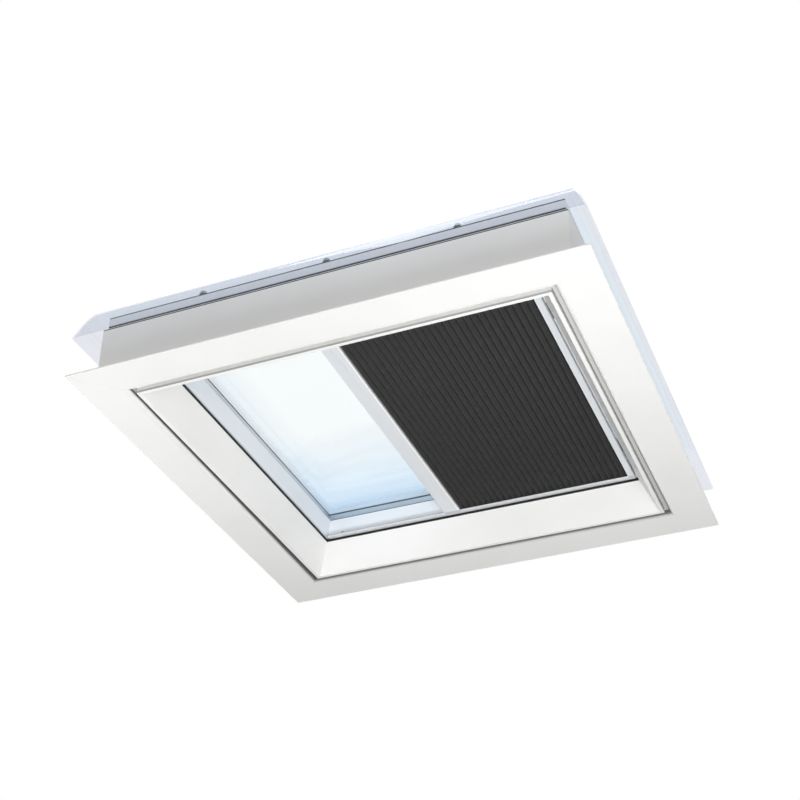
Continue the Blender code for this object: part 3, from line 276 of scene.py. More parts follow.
class Groups:
    """Node groups with named inputs, each built once, at its first use.

    A subclass lists each group's inputs, by first value or by socket type. Its method by
    the group's name adds the nodes and returns what the group puts out.
    """

    TREE = ""
    INPUTS: dict[str, dict[str, object]] = {}

    @classmethod
    def tree(cls, name: str) -> bpy.types.NodeTree:
        """Find a group, or build it.

        Args:
            name: Name of the group.

        Returns:
            Its tree.
        """
        found = bpy.data.node_groups.get(name)
        if found:
            return found
        made = bpy.data.node_groups.new(name, cls.TREE)
        sockets = made.interface
        for key, value in cls.INPUTS[name].items():
            kind = "Vector" if isinstance(value, tuple) else "Float"
            kind = "NodeSocket" + (value if isinstance(value, str) else kind)
            socket = sockets.new_socket(name=key, in_out="INPUT", socket_type=kind)
            if not isinstance(value, str):
                socket.default_value = value
        graph = Graph(made)
        results = getattr(cls, name)(graph, graph.node("NodeGroupInput").outputs)
        for key, result in results.items():
            sockets.new_socket(name=key, in_out="OUTPUT", socket_type=result.bl_idname)
        graph.node("NodeGroupOutput", results)
        return made


class Effects(Groups):
    """Shader groups that several finishes share."""

    TREE = "ShaderNodeTree"
    INPUTS = {
        "ring_run": {
            "Joint Width": 0.0006,
            # Half sizes of the lining groove, where its painted shade starts below the lip, and
            # what is left at the floor.
            "Groove Inner": 1.0,
            "Groove Outer": 1.0,
            "Groove Lip": 0.005,
            "Groove Floor": 0.3,
        },
        "drawn_lines": {"Run": (0.0, 0.0, 0.0), "Scale": 900.0},
        "fine_grain": {"Grain Scale": 1400.0, "Mottle Scale": 5.0},
        "scuffs": {"Scale": 26.0},
        "fibre_web": {"Flat Place": (0.0, 0.0, 0.0), "Fibre Scale": 420.0},
        "bead_foam": {"Bead Scale": 260.0},
    }

    # Painted shade in the lining groove: its inner wall darkened by height, on the shaded sides
    # and on the lit near side, and where the shade begins below the lip and eases at the floor.
    WALL_REACH = 1.0 * MM
    NEAR_SIDE = -0.49
    SHADED_WALL = (0.0, 0.013, 0.25, 0.8)
    LIT_WALL = (0.003, 0.007, 0.6, 0.0)
    LIP_RUN = (-0.45, 0.45)
    FAR_LIP = 0.0002
    LIP_FADE = 0.004
    FLOOR_HEIGHT = (0.0144, 0.0149)

    # Shares of a drawn profile's fine lines and broad bands, and the bands' scale.
    LINES, BANDS, BAND_SCALE = 0.55, 0.45, 0.08
    # Turn and stretch of each layer of fibres, and what fibres and clumps add.
    FIBRE_LAYERS = ((0.35, 9.0), (-0.5, 7.0), (1.25, 8.0))
    FIBRES, CLUMPS, CLUMP_SCALE = 0.65, 0.35, 60.0
    FIBRE_SPAN = (0.5, 0.8)
    SCUFF_SPAN = (0.56, 0.74)
    SCUFF_TURN, SCUFF_STRETCH = (0.4, 0.7, 0.3), (1.0, 7.0, 3.0)
    BEAD_REACH = 0.7

    @classmethod
    def add(cls, graph: Graph, name: str, inputs: dict | None = None) -> Sockets:
        """Put a shared group into a material's tree, and return its outputs."""
        return graph.node("ShaderNodeGroup", inputs, node_tree=cls.tree(name)).outputs

    @classmethod
    def ring_run(cls, graph: Graph, given: Sockets) -> Sockets:
        """Coordinates along the sides of a square ring, its mitre joints and painted groove shade.

        Args:
            graph: The group's graph.
            given: The group's inputs.

        Returns:
            What the group puts out.
        """
        axes = graph.node("ShaderNodeSeparateXYZ", {0: graph.place()}).outputs
        x, y = (graph.calc("ABSOLUTE", axes[name]) for name in "XY")
        across = graph.calc("MAXIMUM", x, y)
        along = graph.times(graph.calc("MINIMUM", x, y), LINE_STRETCH)
        apart = graph.calc("ABSOLUTE", graph.calc("SUBTRACT", x, y))
        return {
            "Run": graph.out("ShaderNodeCombineXYZ", {0: across, 1: axes["Z"], 2: along}),
            "Joint": graph.calc("LESS_THAN", apart, given["Joint Width"]),
            # Mask of painted shade in the lining groove.
            "Groove": cls.groove(graph, given, across, axes),
        }

    @classmethod
    def groove(cls, graph: Graph, given: Sockets, across: Socket, axes: Sockets) -> Socket:
        """Painted shade in the lining groove, which starts nearer the mouth on the far side.

        Args:
            graph: The group's graph.
            given: The group's inputs.
            across: Half size of the square that a point lies on.
            axes: The point's coordinates.

        Returns:
            The mask of the painted shade.
        """
        inner, height = given["Groove Inner"], axes["Z"]
        within = graph.inside(across, inner, given["Groove Outer"])
        wall = graph.calc("LESS_THAN", graph.calc("SUBTRACT", across, inner), cls.WALL_REACH)
        near = graph.calc("LESS_THAN", axes["Y"], cls.NEAR_SIDE)
        shaded = graph.scaled(height, *cls.SHADED_WALL)
        lit = graph.scaled(height, *cls.LIT_WALL)
        lip = graph.scaled(axes["Y"], *cls.LIP_RUN, given["Groove Lip"], cls.FAR_LIP)
        deep = graph.scaled(height, lip, graph.calc("ADD", lip, cls.LIP_FADE), 0.0, 1.0)
        floor = graph.scaled(height, *cls.FLOOR_HEIGHT, 1.0, given["Groove Floor"])
        rest = graph.times(deep, floor)
        # Painted shade: the inner wall by its height, the rest of the groove below its lip.
        return graph.times(within, graph.either(wall, rest, graph.either(near, shaded, lit)))

    @classmethod
    def drawn_lines(cls, graph: Graph, given: Sockets) -> Sockets:
        """Fine lines that run along a drawn or extruded profile.

        Args:
            graph: The group's graph.
            given: The group's inputs.

        Returns:
            What the group puts out.
        """
        run, scale = given["Run"], given["Scale"]
        lines = graph.noise(run, scale, detail=3.0)
        bands = graph.noise(run, graph.times(scale, cls.BAND_SCALE))
        fine, broad = graph.times(lines, cls.LINES), graph.times(bands, cls.BANDS)
        return {"Shade": graph.calc("ADD", fine, broad), "Height": lines}

    @classmethod
    def fine_grain(cls, graph: Graph, given: Sockets) -> Sockets:
        """Satin grain of moulded plastic: a slow mottle and a fine relief.

        Args:
            graph: The group's graph.
            given: The group's inputs.

        Returns:
            What the group puts out.
        """
        place = graph.place()
        mottle = graph.noise(place, given["Mottle Scale"], detail=4.0)
        grain = graph.noise(place, given["Grain Scale"])
        return {"Shade": graph.scaled(mottle, *NOISE_SPAN, 0.0, 1.0), "Height": grain}

    @classmethod
    def scuffs(cls, graph: Graph, given: Sockets) -> Sockets:
        """Mask of faint scuffs and wipe marks, for the roughness of a handled surface.

        Args:
            graph: The group's graph.
            given: The group's inputs.

        Returns:
            What the group puts out.
        """
        turned = graph.mapped(graph.place(), cls.SCUFF_STRETCH, cls.SCUFF_TURN)
        noise = graph.noise(turned, given["Scale"], detail=8.0, Roughness=0.7)
        return {"Mask": graph.scaled(noise, *cls.SCUFF_SPAN, 0.0, 1.0)}

    @classmethod
    def fibre_web(cls, graph: Graph, given: Sockets) -> Sockets:
        """Matted fibres of a non-woven cloth, on the cloth's own coordinates.

        Args:
            graph: The group's graph.
            given: The group's inputs.

        Returns:
            What the group puts out.
        """
        place = given["Flat Place"]
        webs = []
        for turn, stretch in cls.FIBRE_LAYERS:
            laid = graph.mapped(place, (1.0, stretch, 1.0), (0.0, 0.0, turn))
            webs.append(graph.noise(laid, given["Fibre Scale"], Distortion=0.4))
        height = graph.calc("MAXIMUM", graph.calc("MAXIMUM", webs[0], webs[1]), webs[2])
        clumps = graph.noise(place, cls.CLUMP_SCALE, detail=5.0)
        fibres = graph.scaled(height, *cls.FIBRE_SPAN, 0.0, cls.FIBRES)
        thick = graph.scaled(clumps, *NOISE_SPAN, 0.0, cls.CLUMPS)
        return {"Shade": graph.calc("ADD", fibres, thick), "Height": height}

    @classmethod
    def bead_foam(cls, graph: Graph, given: Sockets) -> Sockets:
        """Pressed beads of foam: each bead's own shade and its rounded top.

        Args:
            graph: The group's graph.
            given: The group's inputs.

        Returns:
            What the group puts out.
        """
        cells = {"Vector": graph.place(), "Scale": given["Bead Scale"]}
        beads = graph.node("ShaderNodeTexVoronoi", cells, feature="F1").outputs
        tint = graph.out("ShaderNodeSeparateColor", {0: beads["Color"]})
        top = graph.scaled(beads["Distance"], 0.0, cls.BEAD_REACH, 1.0, 0.0)
        return {"Shade": tint, "Height": top}


@dataclass(frozen=True)
class Finish:
    """A named finish. A subclass says how its surface varies.

    The contrast is what the colour keeps where its shade is darkest, and the relief is
    how deep the surface's fine relief goes.
    """

    name: str
    colour: Colour
    roughness: float
    contrast: float = 1.0
    metallic: float = 0.0
    specular: float = 0.5
    relief: float = 0.02 * MM

    def material(self) -> bpy.types.Material:
        """Build the finish's material, once.

        Returns:
            The material.
        """
        found = bpy.data.materials.get(self.name)
        if found:
            return found
        made = bpy.data.materials.new(self.name)
        made.use_nodes = True
        made.diffuse_color = opaque(self.colour)
        graph = Graph(made.node_tree)
        plain = {
            "Base Color": opaque(self.colour),
            "Roughness": self.roughness,
            "Metallic": self.metallic,
            "Specular IOR Level": self.specular,
        }
        self.dress(graph, graph.fill(made.node_tree.nodes["Principled BSDF"], plain))
        return made

    def dress(self, graph: Graph, shader: bpy.types.Node) -> None:
        """Add what varies over the surface. Subclasses fill it in.

        Args:
            graph: The material's graph.
            shader: Its main shader.
        """

    def darker(self, share: float) -> Colour:
        """The finish's colour times a share."""
        red, green, blue = self.colour
        return red * share, green * share, blue * share

    def tinted(self, graph: Graph, shade: Socket) -> Socket:
        """The finish's colour, darkened by its contrast where a shade is low."""
        return graph.between(shade, self.darker(self.contrast), self.colour)

    def gloss(
        self, graph: Graph, mask: Socket, span: Point = (0.0, 1.0), *, off: float, on: float
    ) -> Socket:
        """The roughness, with an offset at each end of a mask's span."""
        return graph.scaled(mask, *span, self.roughness + off, self.roughness + on)

    def link(
        self, graph: Graph, shader: bpy.types.Node, colour: Socket, rough: Socket, height: Socket
    ) -> None:
        """Give the shader its colour, its roughness and the relief of a height."""
        normal = graph.relief(height, self.relief)
        graph.fill(shader, {"Base Color": colour, "Roughness": rough, "Normal": normal})


@dataclass(frozen=True)
class Plastic(Finish):
    """Satin plastic with a fine grain; where it is a ring, welded mitres and painted groove shade.
    """

    contrast: float = 0.96
    relief: float = 0.03 * MM
    ring: bool = False
    groove: Point = (1.0, 1.0)
    painted_groove_shade: float = 0.16
    weld_shade: float = 0.9
    weld_depth: float = 4.0
    scuffed: float = 0.12

    def dress(self, graph: Graph, shader: bpy.types.Node) -> None:
        """Grain and mottle, scuffs in the gloss, a hairline at each weld and painted groove shade.

        Args:
            graph: The material's graph.
            shader: Its main shader.
        """
        grain = Effects.add(graph, "fine_grain")
        scuffs = Effects.add(graph, "scuffs")["Mask"]
        colour, height = self.tinted(graph, grain["Shade"]), grain["Height"]
        if self.ring:
            inner, outer = self.groove
            run = Effects.add(graph, "ring_run", {"Groove Inner": inner, "Groove Outer": outer})
            # The weld hairline is the plastic's own colour; the groove's darkening is painted
            # shade.
            for mask, share in (("Joint", self.weld_shade), ("Groove", self.painted_groove_shade)):
                colour = graph.between(run[mask], colour, self.darker(share))
            height = graph.calc("SUBTRACT", height, graph.times(run["Joint"], self.weld_depth))
        rough = self.gloss(graph, scuffs, off=0.0, on=self.scuffed)
        self.link(graph, shader, colour, rough, height)


@dataclass(frozen=True)
class Metal(Finish):
    """Drawn or extruded metal whose lines follow the profile, with a painted highlight band if
    given.
    """

    contrast: float = 0.86
    metallic: float = 1.0
    run: Run = Run.RING
    painted_highlight: Point | None = None
    scuff_scale: float = 40.0
    scuff_share: float = 0.3
    spread_span: Point = (0.2, 1.1)

    def dress(self, graph: Graph, shader: bpy.types.Node) -> None:
        """Lines along the profile, in its colour, gloss and relief, and a painted highlight band.

        Args:
            graph: The material's graph.
            shader: Its main shader.
        """
        if self.run is Run.RING:
            run = Effects.add(graph, "ring_run")["Run"]
        else:
            run = graph.mapped(graph.place(), self.run.value)
        lines = Effects.add(graph, "drawn_lines", {"Run": run})
        scuffs = Effects.add(graph, "scuffs", {"Scale": self.scuff_scale})["Mask"]
        spread = graph.calc("ADD", lines["Shade"], graph.times(scuffs, self.scuff_share))
        colour = self.tinted(graph, lines["Shade"])
        # Painted highlight: a white band across X, where an edge would catch the light.
        if self.painted_highlight:
            highlight_band = graph.inside(graph.axis("X"), *self.painted_highlight)
            colour = graph.between(highlight_band, colour, WHITE)
        rough = self.gloss(graph, spread, self.spread_span, off=-0.06, on=0.14)
        self.link(graph, shader, colour, rough, lines["Height"])


@dataclass(frozen=True)
class Turned(Finish):
    """Plated or painted metal of small turned parts, with a speckled coat."""

    contrast: float = 0.8
    metallic: float = 1.0
    grain_scale: float = 2600.0
    mottle_scale: float = 160.0

    def dress(self, graph: Graph, shader: bpy.types.Node) -> None:
        """Speckle of the coat, in its colour, gloss and relief.

        Args:
            graph: The material's graph.
            shader: Its main shader.
        """
        inputs = {"Grain Scale": self.grain_scale, "Mottle Scale": self.mottle_scale}
        grain = Effects.add(graph, "fine_grain", inputs)
        shade = grain["Shade"]
        rough = self.gloss(graph, shade, off=0.1, on=0.0)
        self.link(graph, shader, self.tinted(graph, shade), rough, grain["Height"])


@dataclass(frozen=True)
class Rubber(Finish):
    """Matt seal rubber with a pale bloom."""

    specular: float = 0.35
    relief: float = 0.06 * MM
    bloom: float = 1.7
    grain_scale: float = 2200.0
    mottle_scale: float = 45.0

    def dress(self, graph: Graph, shader: bpy.types.Node) -> None:
        """A pale bloom in patches over a fine pebbled relief.

        Args:
            graph: The material's graph.
            shader: Its main shader.
        """
        inputs = {"Grain Scale": self.grain_scale, "Mottle Scale": self.mottle_scale}
        grain = Effects.add(graph, "fine_grain", inputs)
        colour = graph.between(grain["Shade"], self.colour, self.darker(self.bloom))
        rough = self.gloss(graph, grain["Shade"], off=-0.08, on=0.1)
        self.link(graph, shader, colour, rough, grain["Height"])


@dataclass(frozen=True)
class Foam(Finish):
    """Pressed bead foam."""

    contrast: float = 0.88
    relief: float = 0.6 * MM

    def dress(self, graph: Graph, shader: bpy.types.Node) -> None:
        """Shade and relief of each bead.

        Args:
            graph: The material's graph.
            shader: Its main shader.
        """
        beads = Effects.add(graph, "bead_foam")
        rough = self.gloss(graph, beads["Height"], off=0.1, on=0.0)
        self.link(graph, shader, self.tinted(graph, beads["Shade"]), rough, beads["Height"])


@dataclass(frozen=True)
class ClearSheet(Finish):
    """Glass or acrylic that lets the lamps through to what is behind it.

    The tint goes from the colour at a low height to a paler one at a high height, as in
    a blown dome, whose flanks are seen through more of the sheet. Below the edge height
    a folded skirt can have its own tint, and a pane can take a painted tint that turns
    bluer along its far run, for the bluer light seen through that side.
    Light that has turned more often than the depth goes on straight. A thin shell that
    doesn't bend what is seen through it has its gloss from a coat.
    """

    pale: Colour = (0.95, 0.98, 1.0)
    edge: Colour | None = None
    edge_height: float = 0.0
    edge_fade: float = 0.01
    far: Colour | None = None
    far_run: Point = (0.0, 1.0)
    shadow: Colour = (0.97, 0.98, 0.985)
    marks: float = 0.03
    mark_scale: float = 9.0
    drift: float = 0.015
    drift_scale: float = 2.2
    low: float = 0.0
    high: float = 1.0
    refraction: float = 1.45
    coat: float = 0.0
    depth: float = 6.5

    def dress(self, graph: Graph, shader: bpy.types.Node) -> None:
        """Tint, faint wipe marks in the gloss, and a clear path for the lamps.

        Args:
            graph: The material's graph.
            shader: Its main shader.
        """
        plain = {"Transmission Weight": 1.0, "IOR": self.refraction, "Coat Weight": self.coat}
        graph.fill(shader, plain)
        height = graph.axis("Z")
        share = graph.scaled(height, self.low, self.high, 0.0, 1.0)
        noise = graph.noise(graph.place(), self.drift_scale)
        drift = graph.scaled(noise, *NOISE_SPAN, -self.drift, self.drift)
        tint = graph.between(graph.calc("ADD", share, drift), self.colour, self.pale)
        if self.edge:
            start = self.edge_height - self.edge_fade
            under = graph.scaled(height, start, self.edge_height, 1.0, 0.0)
            tint = graph.between(under, tint, self.edge)
        # Painted tint: bluer along the far run, for the light seen through that side.
        if self.far:
            beyond = graph.scaled(graph.axis("Y"), *self.far_run, 0.0, 1.0)
            tint = graph.between(beyond, tint, self.far)
        marks = Effects.add(graph, "scuffs", {"Scale": self.mark_scale})["Mask"]
        rough = self.gloss(graph, marks, off=0.0, on=self.marks)
        graph.fill(shader, {"Base Color": tint, "Roughness": rough})
        path = graph.node("ShaderNodeLightPath").outputs
        lost = graph.calc("GREATER_THAN", path["Ray Depth"], self.depth)
        through = graph.calc("MAXIMUM", path["Is Shadow Ray"], lost)
        clear = graph.out("ShaderNodeBsdfTransparent", {"Color": opaque(self.shadow)})
        mixed = graph.out("ShaderNodeMixShader", {0: through, 1: shader.outputs[0], 2: clear})
        graph.fill(graph.tree.nodes["Material Output"], {"Surface": mixed})


@dataclass(frozen=True)
class Cloth(Finish):
    """Non-woven pleated cloth, on the cloth's own flat coordinates."""

    contrast: float = 0.62
    specular: float = 0.08
    relief: float = 0.08 * MM
    painted_crease_shade: float = 0.94
    crease_reach: float = 0.35

    def dress(self, graph: Graph, shader: bpy.types.Node) -> None:
        """Fibres in colour and relief, and painted shade that darkens the valleys.

        Args:
            graph: The material's graph.
            shader: Its main shader.
        """
        flat = graph.out("ShaderNodeUVMap", uv_map="flat")
        cell, depth = (
            graph.node("ShaderNodeAttribute", attribute_name=name).outputs["Fac"]
            for name in ("cell_number", "fold_share")
        )
        shift = graph.out("ShaderNodeCombineXYZ", {0: cell, 1: cell})
        moved = graph.out("ShaderNodeVectorMath", {0: flat, 1: shift})
        web = Effects.add(graph, "fibre_web", {"Flat Place": moved})
        # Painted shade: darker toward the glue lands between the folds, and darkest on the end
        # strips.
        valley_shade = graph.scaled(depth, 0.0, self.crease_reach, self.painted_crease_shade, 1.0)
        tint = {0: self.tinted(graph, web["Shade"]), "Scale": valley_shade}
        deep = graph.out("ShaderNodeVectorMath", tint, operation="SCALE")
        rough = self.gloss(graph, web["Shade"], off=0.06, on=-0.06)
        self.link(graph, shader, deep, rough, web["Height"])


FINISHES: dict[str, Finish] = {
    # The frame's lining groove, between these half sizes, takes painted shade.
    "white_plastic": Plastic(
        "frame_white", tone(244, 244, 242), 0.42, ring=True, groove=(0.4937, 0.5185)
    ),
    "sash_white": Plastic("sash_satin", tone(231, 236, 242), 0.4, ring=True),
    "insulation": Foam("foam_grey", tone(226, 228, 230), 0.9),
    "black_rubber": Rubber("seal_rubber", tone(34, 34, 35), 0.68),
    "glass": ClearSheet(
        "float_glass",
        (0.985, 1.0, 1.0),
        0.0,
        pale=(0.985, 1.0, 1.0),
        far=(0.85, 0.93, 1.0),
        far_run=(0.0, 0.4),
        refraction=1.25,
        marks=0.0,
    ),
    "spacer": Metal("spacer_bar", tone(206, 212, 219), 0.34),
    "clear_cover": ClearSheet(
        "cover_acrylic",
        (0.75, 0.84, 0.92),
        0.04,
        pale=(0.99, 1.0, 1.0),
        edge=(0.79, 0.81, 0.86),
        edge_height=0.195,
        low=0.20,
        high=0.27,
        refraction=1.0,
        coat=0.5,
    ),
    "silver": Metal("anodised_silver", tone(238, 241, 244), 0.32, metallic=0.38),
    "steel": Turned("zinc_plate", tone(168, 170, 174), 0.34),
    "dark_cloth": Cloth("honeycomb_cloth", tone(76, 76, 76), 0.85),
    "grey_plastic": Plastic("moulded_grey", tone(200, 203, 206), 0.48),
    "brass": Turned("gear_brass", tone(196, 164, 98), 0.3),
    "motor_can": Turned("motor_coat", tone(150, 152, 155), 0.32, metallic=0.8),
    "cell_wrap": Plastic("cell_sleeve", tone(52, 92, 132), 0.34, contrast=0.85),
    "board": Plastic("board_mask", tone(26, 96, 58), 0.36, contrast=0.75),
}
RAIL = Metal("silver_rail", tone(238, 241, 244), 0.3, run=Run.ALONG_X, metallic=0.38)
# The bar's white band beside the cloth is a painted highlight.
BAR = Metal(
    "silver_bar",
    tone(236, 240, 244),
    0.3,
    run=Run.ALONG_Y,
    metallic=0.38,
    painted_highlight=(-0.0475, -0.04),
)
LINING = Turned("cloth_lining", tone(120, 121, 123), 0.42, metallic=0.6)


def slot_of(node: str) -> str:
    """The record's material slot of a CAD node."""
    rows = frame["record"]["subparts"]
    return next(row["material_slot"] for row in rows if row["node"] == node)


def body_of(node: str) -> str:
    """The CAD body that a node belongs to."""
    return frame["nodes"][node]["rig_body"]


def nodes_of(start: str) -> list[str]:
    """The CAD nodes whose names have a start, in order."""
    return sorted(name for name in frame["nodes"] if name.startswith(start))


def middle_of(node: str) -> Vector:
    """Middle of a CAD node's box."""
    low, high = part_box(node)
    return (low + high) / 2


def new_object(name: str, mesh: bpy.types.Mesh) -> bpy.types.Object:
    """Link a mesh to the scene as an object at the origin.

    Args:
        name: Name of the object.
        mesh: Its mesh.

    Returns:
        The object.
    """
    made = bpy.data.objects.new(name, mesh)
    bpy.context.scene.collection.objects.link(made)
    return made


def smooth(mesh: bpy.types.Mesh, degrees: float = SHARP_DEGREES) -> None:
    """Shade a mesh smooth, apart from its edges that turn by more than an angle."""
    mesh.shade_smooth()
    mesh.set_sharp_from_angle(angle=math.radians(degrees))


def object_of(name: str, bm: bmesh.types.BMesh, degrees: float = 0.0) -> bpy.types.Object:
    """Make an object from a mesh that was built, which is used up.

    Args:
        name: Name of the object and of its mesh.
        bm: The mesh that was built.
        degrees: Angle up to which it is shaded smooth, or 0 to leave it flat.

    Returns:
        The object.
    """
    mesh = bpy.data.meshes.new(name)
    bm.to_mesh(mesh)
    bm.free()
    if degrees:
        smooth(mesh, degrees)
    return new_object(name, mesh)


def bake_modifiers(obj: bpy.types.Object) -> None:
    """Turn what the modifiers make of an object into its plain mesh.

    Args:
        obj: The object.
    """
    bpy.context.view_layer.update()
    graph = bpy.context.evaluated_depsgraph_get()
    mesh = bpy.data.meshes.new_from_object(obj.evaluated_get(graph), depsgraph=graph)
    obj.modifiers.clear()
    obj.data = mesh


def settle(
    obj: bpy.types.Object,
    body: str,
    finish: Finish | None,
    stands_for: tuple[str, ...] = (),
) -> None:
    """Give a piece its finish and its body, and hide the CAD nodes that it stands for.

    Args:
        obj: The piece, its mesh final.
        body: CAD body that it rides on.
        finish: Its finish, or None where its mesh holds its materials.
        stands_for: CAD nodes that it replaces.
    """
    if finish:
        obj.data.materials.clear()
        obj.data.materials.append(finish.material())
    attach(obj, body)
    if stands_for:
        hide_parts(*stands_for)
    log.info("%s rides on %s, %d faces", obj.name, body, len(obj.data.polygons))


def on_mitre(vert: bmesh.types.BMVert) -> bool:
    """Whether a point lies on a diagonal of the skylight."""
    return abs(abs(vert.co.x) - abs(vert.co.y)) < MITRE_REACH


def flat_regions(bm: bmesh.types.BMesh, ring: bool) -> list[list[bmesh.types.BMFace]]:
    """Group the faces of a mesh that lie in one plane and touch.

    Args:
        bm: The mesh.
        ring: Whether the groups end at the diagonals, as the sides of a ring do.

    Returns:
        The groups.
    """
    bm.normal_update()
    groups = []
    left = dict.fromkeys(bm.faces)
    while left:
        group = [left.popitem()[0]]
        for reached in group:
            for edge in reached.edges:
                if ring and all(on_mitre(vert) for vert in edge.verts):
                    continue
                for face in edge.link_faces:
                    if face in left and face.normal.angle(group[0].normal, 1.0) < FLAT_ANGLE:
                        del left[face]
                        group.append(face)
        groups.append(group)
    return groups


def merged_copy(node: str, ring: bool) -> bmesh.types.BMesh:
    """Copy a CAD node's mesh, with its loose triangles joined into flat faces.

    Args:
        node: The CAD node.
        ring: Whether it is a square ring, which is parted at its mitres.

    Returns:
        The mesh. A flat face with holes in it keeps its triangles.
    """
    bm = bmesh.new()
    bm.from_mesh(frame["nodes"][node].data)
    bmesh.ops.remove_doubles(bm, verts=bm.verts, dist=CAD_REACH)
    for side in (-1, 1) if ring else ():
        whole = bm.verts[:] + bm.edges[:] + bm.faces[:]
        plane = {"plane_co": (0, 0, 0), "plane_no": (1.0, side, 0.0)}
        bmesh.ops.bisect_plane(bm, geom=whole, dist=CAD_REACH, **plane)
    for group in flat_regions(bm, ring):
        corners = {vert for face in group for vert in face.verts}
        edges = {edge for face in group for edge in face.edges}
        if len(group) > 1 and len(corners) - len(edges) + len(group) == 1:
            bmesh.ops.dissolve_faces(bm, faces=group)
    straight = []
    for vert in bm.verts:
        if len(vert.link_edges) == 2:
            ends = [edge.other_vert(vert).co - vert.co for edge in vert.link_edges]
            if ends[0].angle(-ends[1], 1.0) < FLAT_ANGLE:
                straight.append(vert)
    bmesh.ops.dissolve_verts(bm, verts=straight)
    return bm


def softened(
    node: str, name: str, radius: float, finish: Finish, steps: int = 2, ring: bool = False
) -> None:
    """Replace a CAD node by the same solid with rounded edges.

    Args:
        node: The CAD node.
        name: Name of the new piece.
        radius: Reach of the rounding, in metres.
        finish: Finish of the piece.
        steps: Faces across each rounded edge.
        ring: Whether the node is a square ring.
    """
    obj = object_of(name, merged_copy(node, ring))
    rounding = obj.modifiers.new("rounding", "BEVEL")
    rounding.width = radius
    rounding.segments = steps
    rounding.limit_method = "ANGLE"
    rounding.angle_limit = ROUNDED_ANGLE
    rounding.miter_outer = "MITER_ARC"
    bake_modifiers(obj)
    smooth(obj.data)
    weights = obj.modifiers.new("flat_faces", "WEIGHTED_NORMAL")
    weights.keep_sharp = True
    bake_modifiers(obj)
    settle(obj, body_of(node), finish, (node,))


def arc(steps: int, first: int = 0) -> list[Point]:
    """Cosine and sine at even steps of a quarter turn, from a first step to the last."""
    turns = [QUARTER * k / steps for k in range(first, steps + 1)]
    return [(math.cos(turn), math.sin(turn)) for turn in turns]


def inward(run: Vector) -> Vector:
    """Unit vector into an anticlockwise loop, square to a run along it."""
    return Vector((-run.y, run.x)).normalized()


def rounded_loop(corners: list[Point3], steps: int) -> list[Point]:
    """Round the corners of a closed outline.

    Args:
        corners: Each corner's two coordinates and its radius, anticlockwise.
        steps: Spaces between the points of each arc.

    Returns:
        The outline's points.
    """
    points: list[Point] = []
    after = corners[1:] + corners[:1]
    for i, (u, v, radius) in enumerate(corners):
        here = Vector((u, v))
        back, ahead = ((Vector(c[:2]) - here).normalized() for c in (corners[i - 1], after[i]))
        half = back.angle(ahead) / 2
        middle = here + (back + ahead).normalized() * radius / math.sin(half)
        start = here + back * radius / math.tan(half) - middle
        sweep = start.angle_signed(here + ahead * radius / math.tan(half) - middle)
        for k in range(steps + 1):
            turned = start.copy()
            turned.rotate(Matrix.Rotation(-sweep * k / steps, 2))
            points.append(tuple(middle + turned))
    return points


def skin(
    bm: bmesh.types.BMesh, rows: list[list[Point3]], closed: bool = False
) -> list[list[bmesh.types.BMVert]]:
    """Join rows of points by faces, each row a closed loop that meets the next.

    Args:
        bm: The mesh that gets them.
        rows: The rows, all with the same count of points.
        closed: Whether the last row meets the first.

    Returns:
        The vertices of each row.
    """
    made = [[bm.verts.new(point) for point in row] for row in rows]
    following = made[1:] + made[:1] if closed else made[1:]
    for row, after in zip(made, following):
        for i in range(len(row)):
            j = (i + 1) % len(row)
            bm.faces.new((row[i], row[j], after[j], after[i]))
    return made


def turned_solid(levels: list[Point], sides: int) -> bmesh.types.BMesh:
    """Turn a profile about Z, and close both ends by a disc.

    Args:
        levels: Radius and height of each level, from the base up.
        sides: Faces round the solid.

    Returns:
        The mesh.
    """
    bm = bmesh.new()
    turns = [2 * math.pi * i / sides for i in range(sides)]
    rows = skin(bm, [[(r * math.cos(a), r * math.sin(a), z) for a in turns] for r, z in levels])
    bm.faces.new(rows[0][::-1])
    bm.faces.new(rows[-1])
    bmesh.ops.remove_doubles(bm, verts=bm.verts, dist=TURNED_REACH)
    bmesh.ops.recalc_face_normals(bm, faces=bm.faces)
    return bm


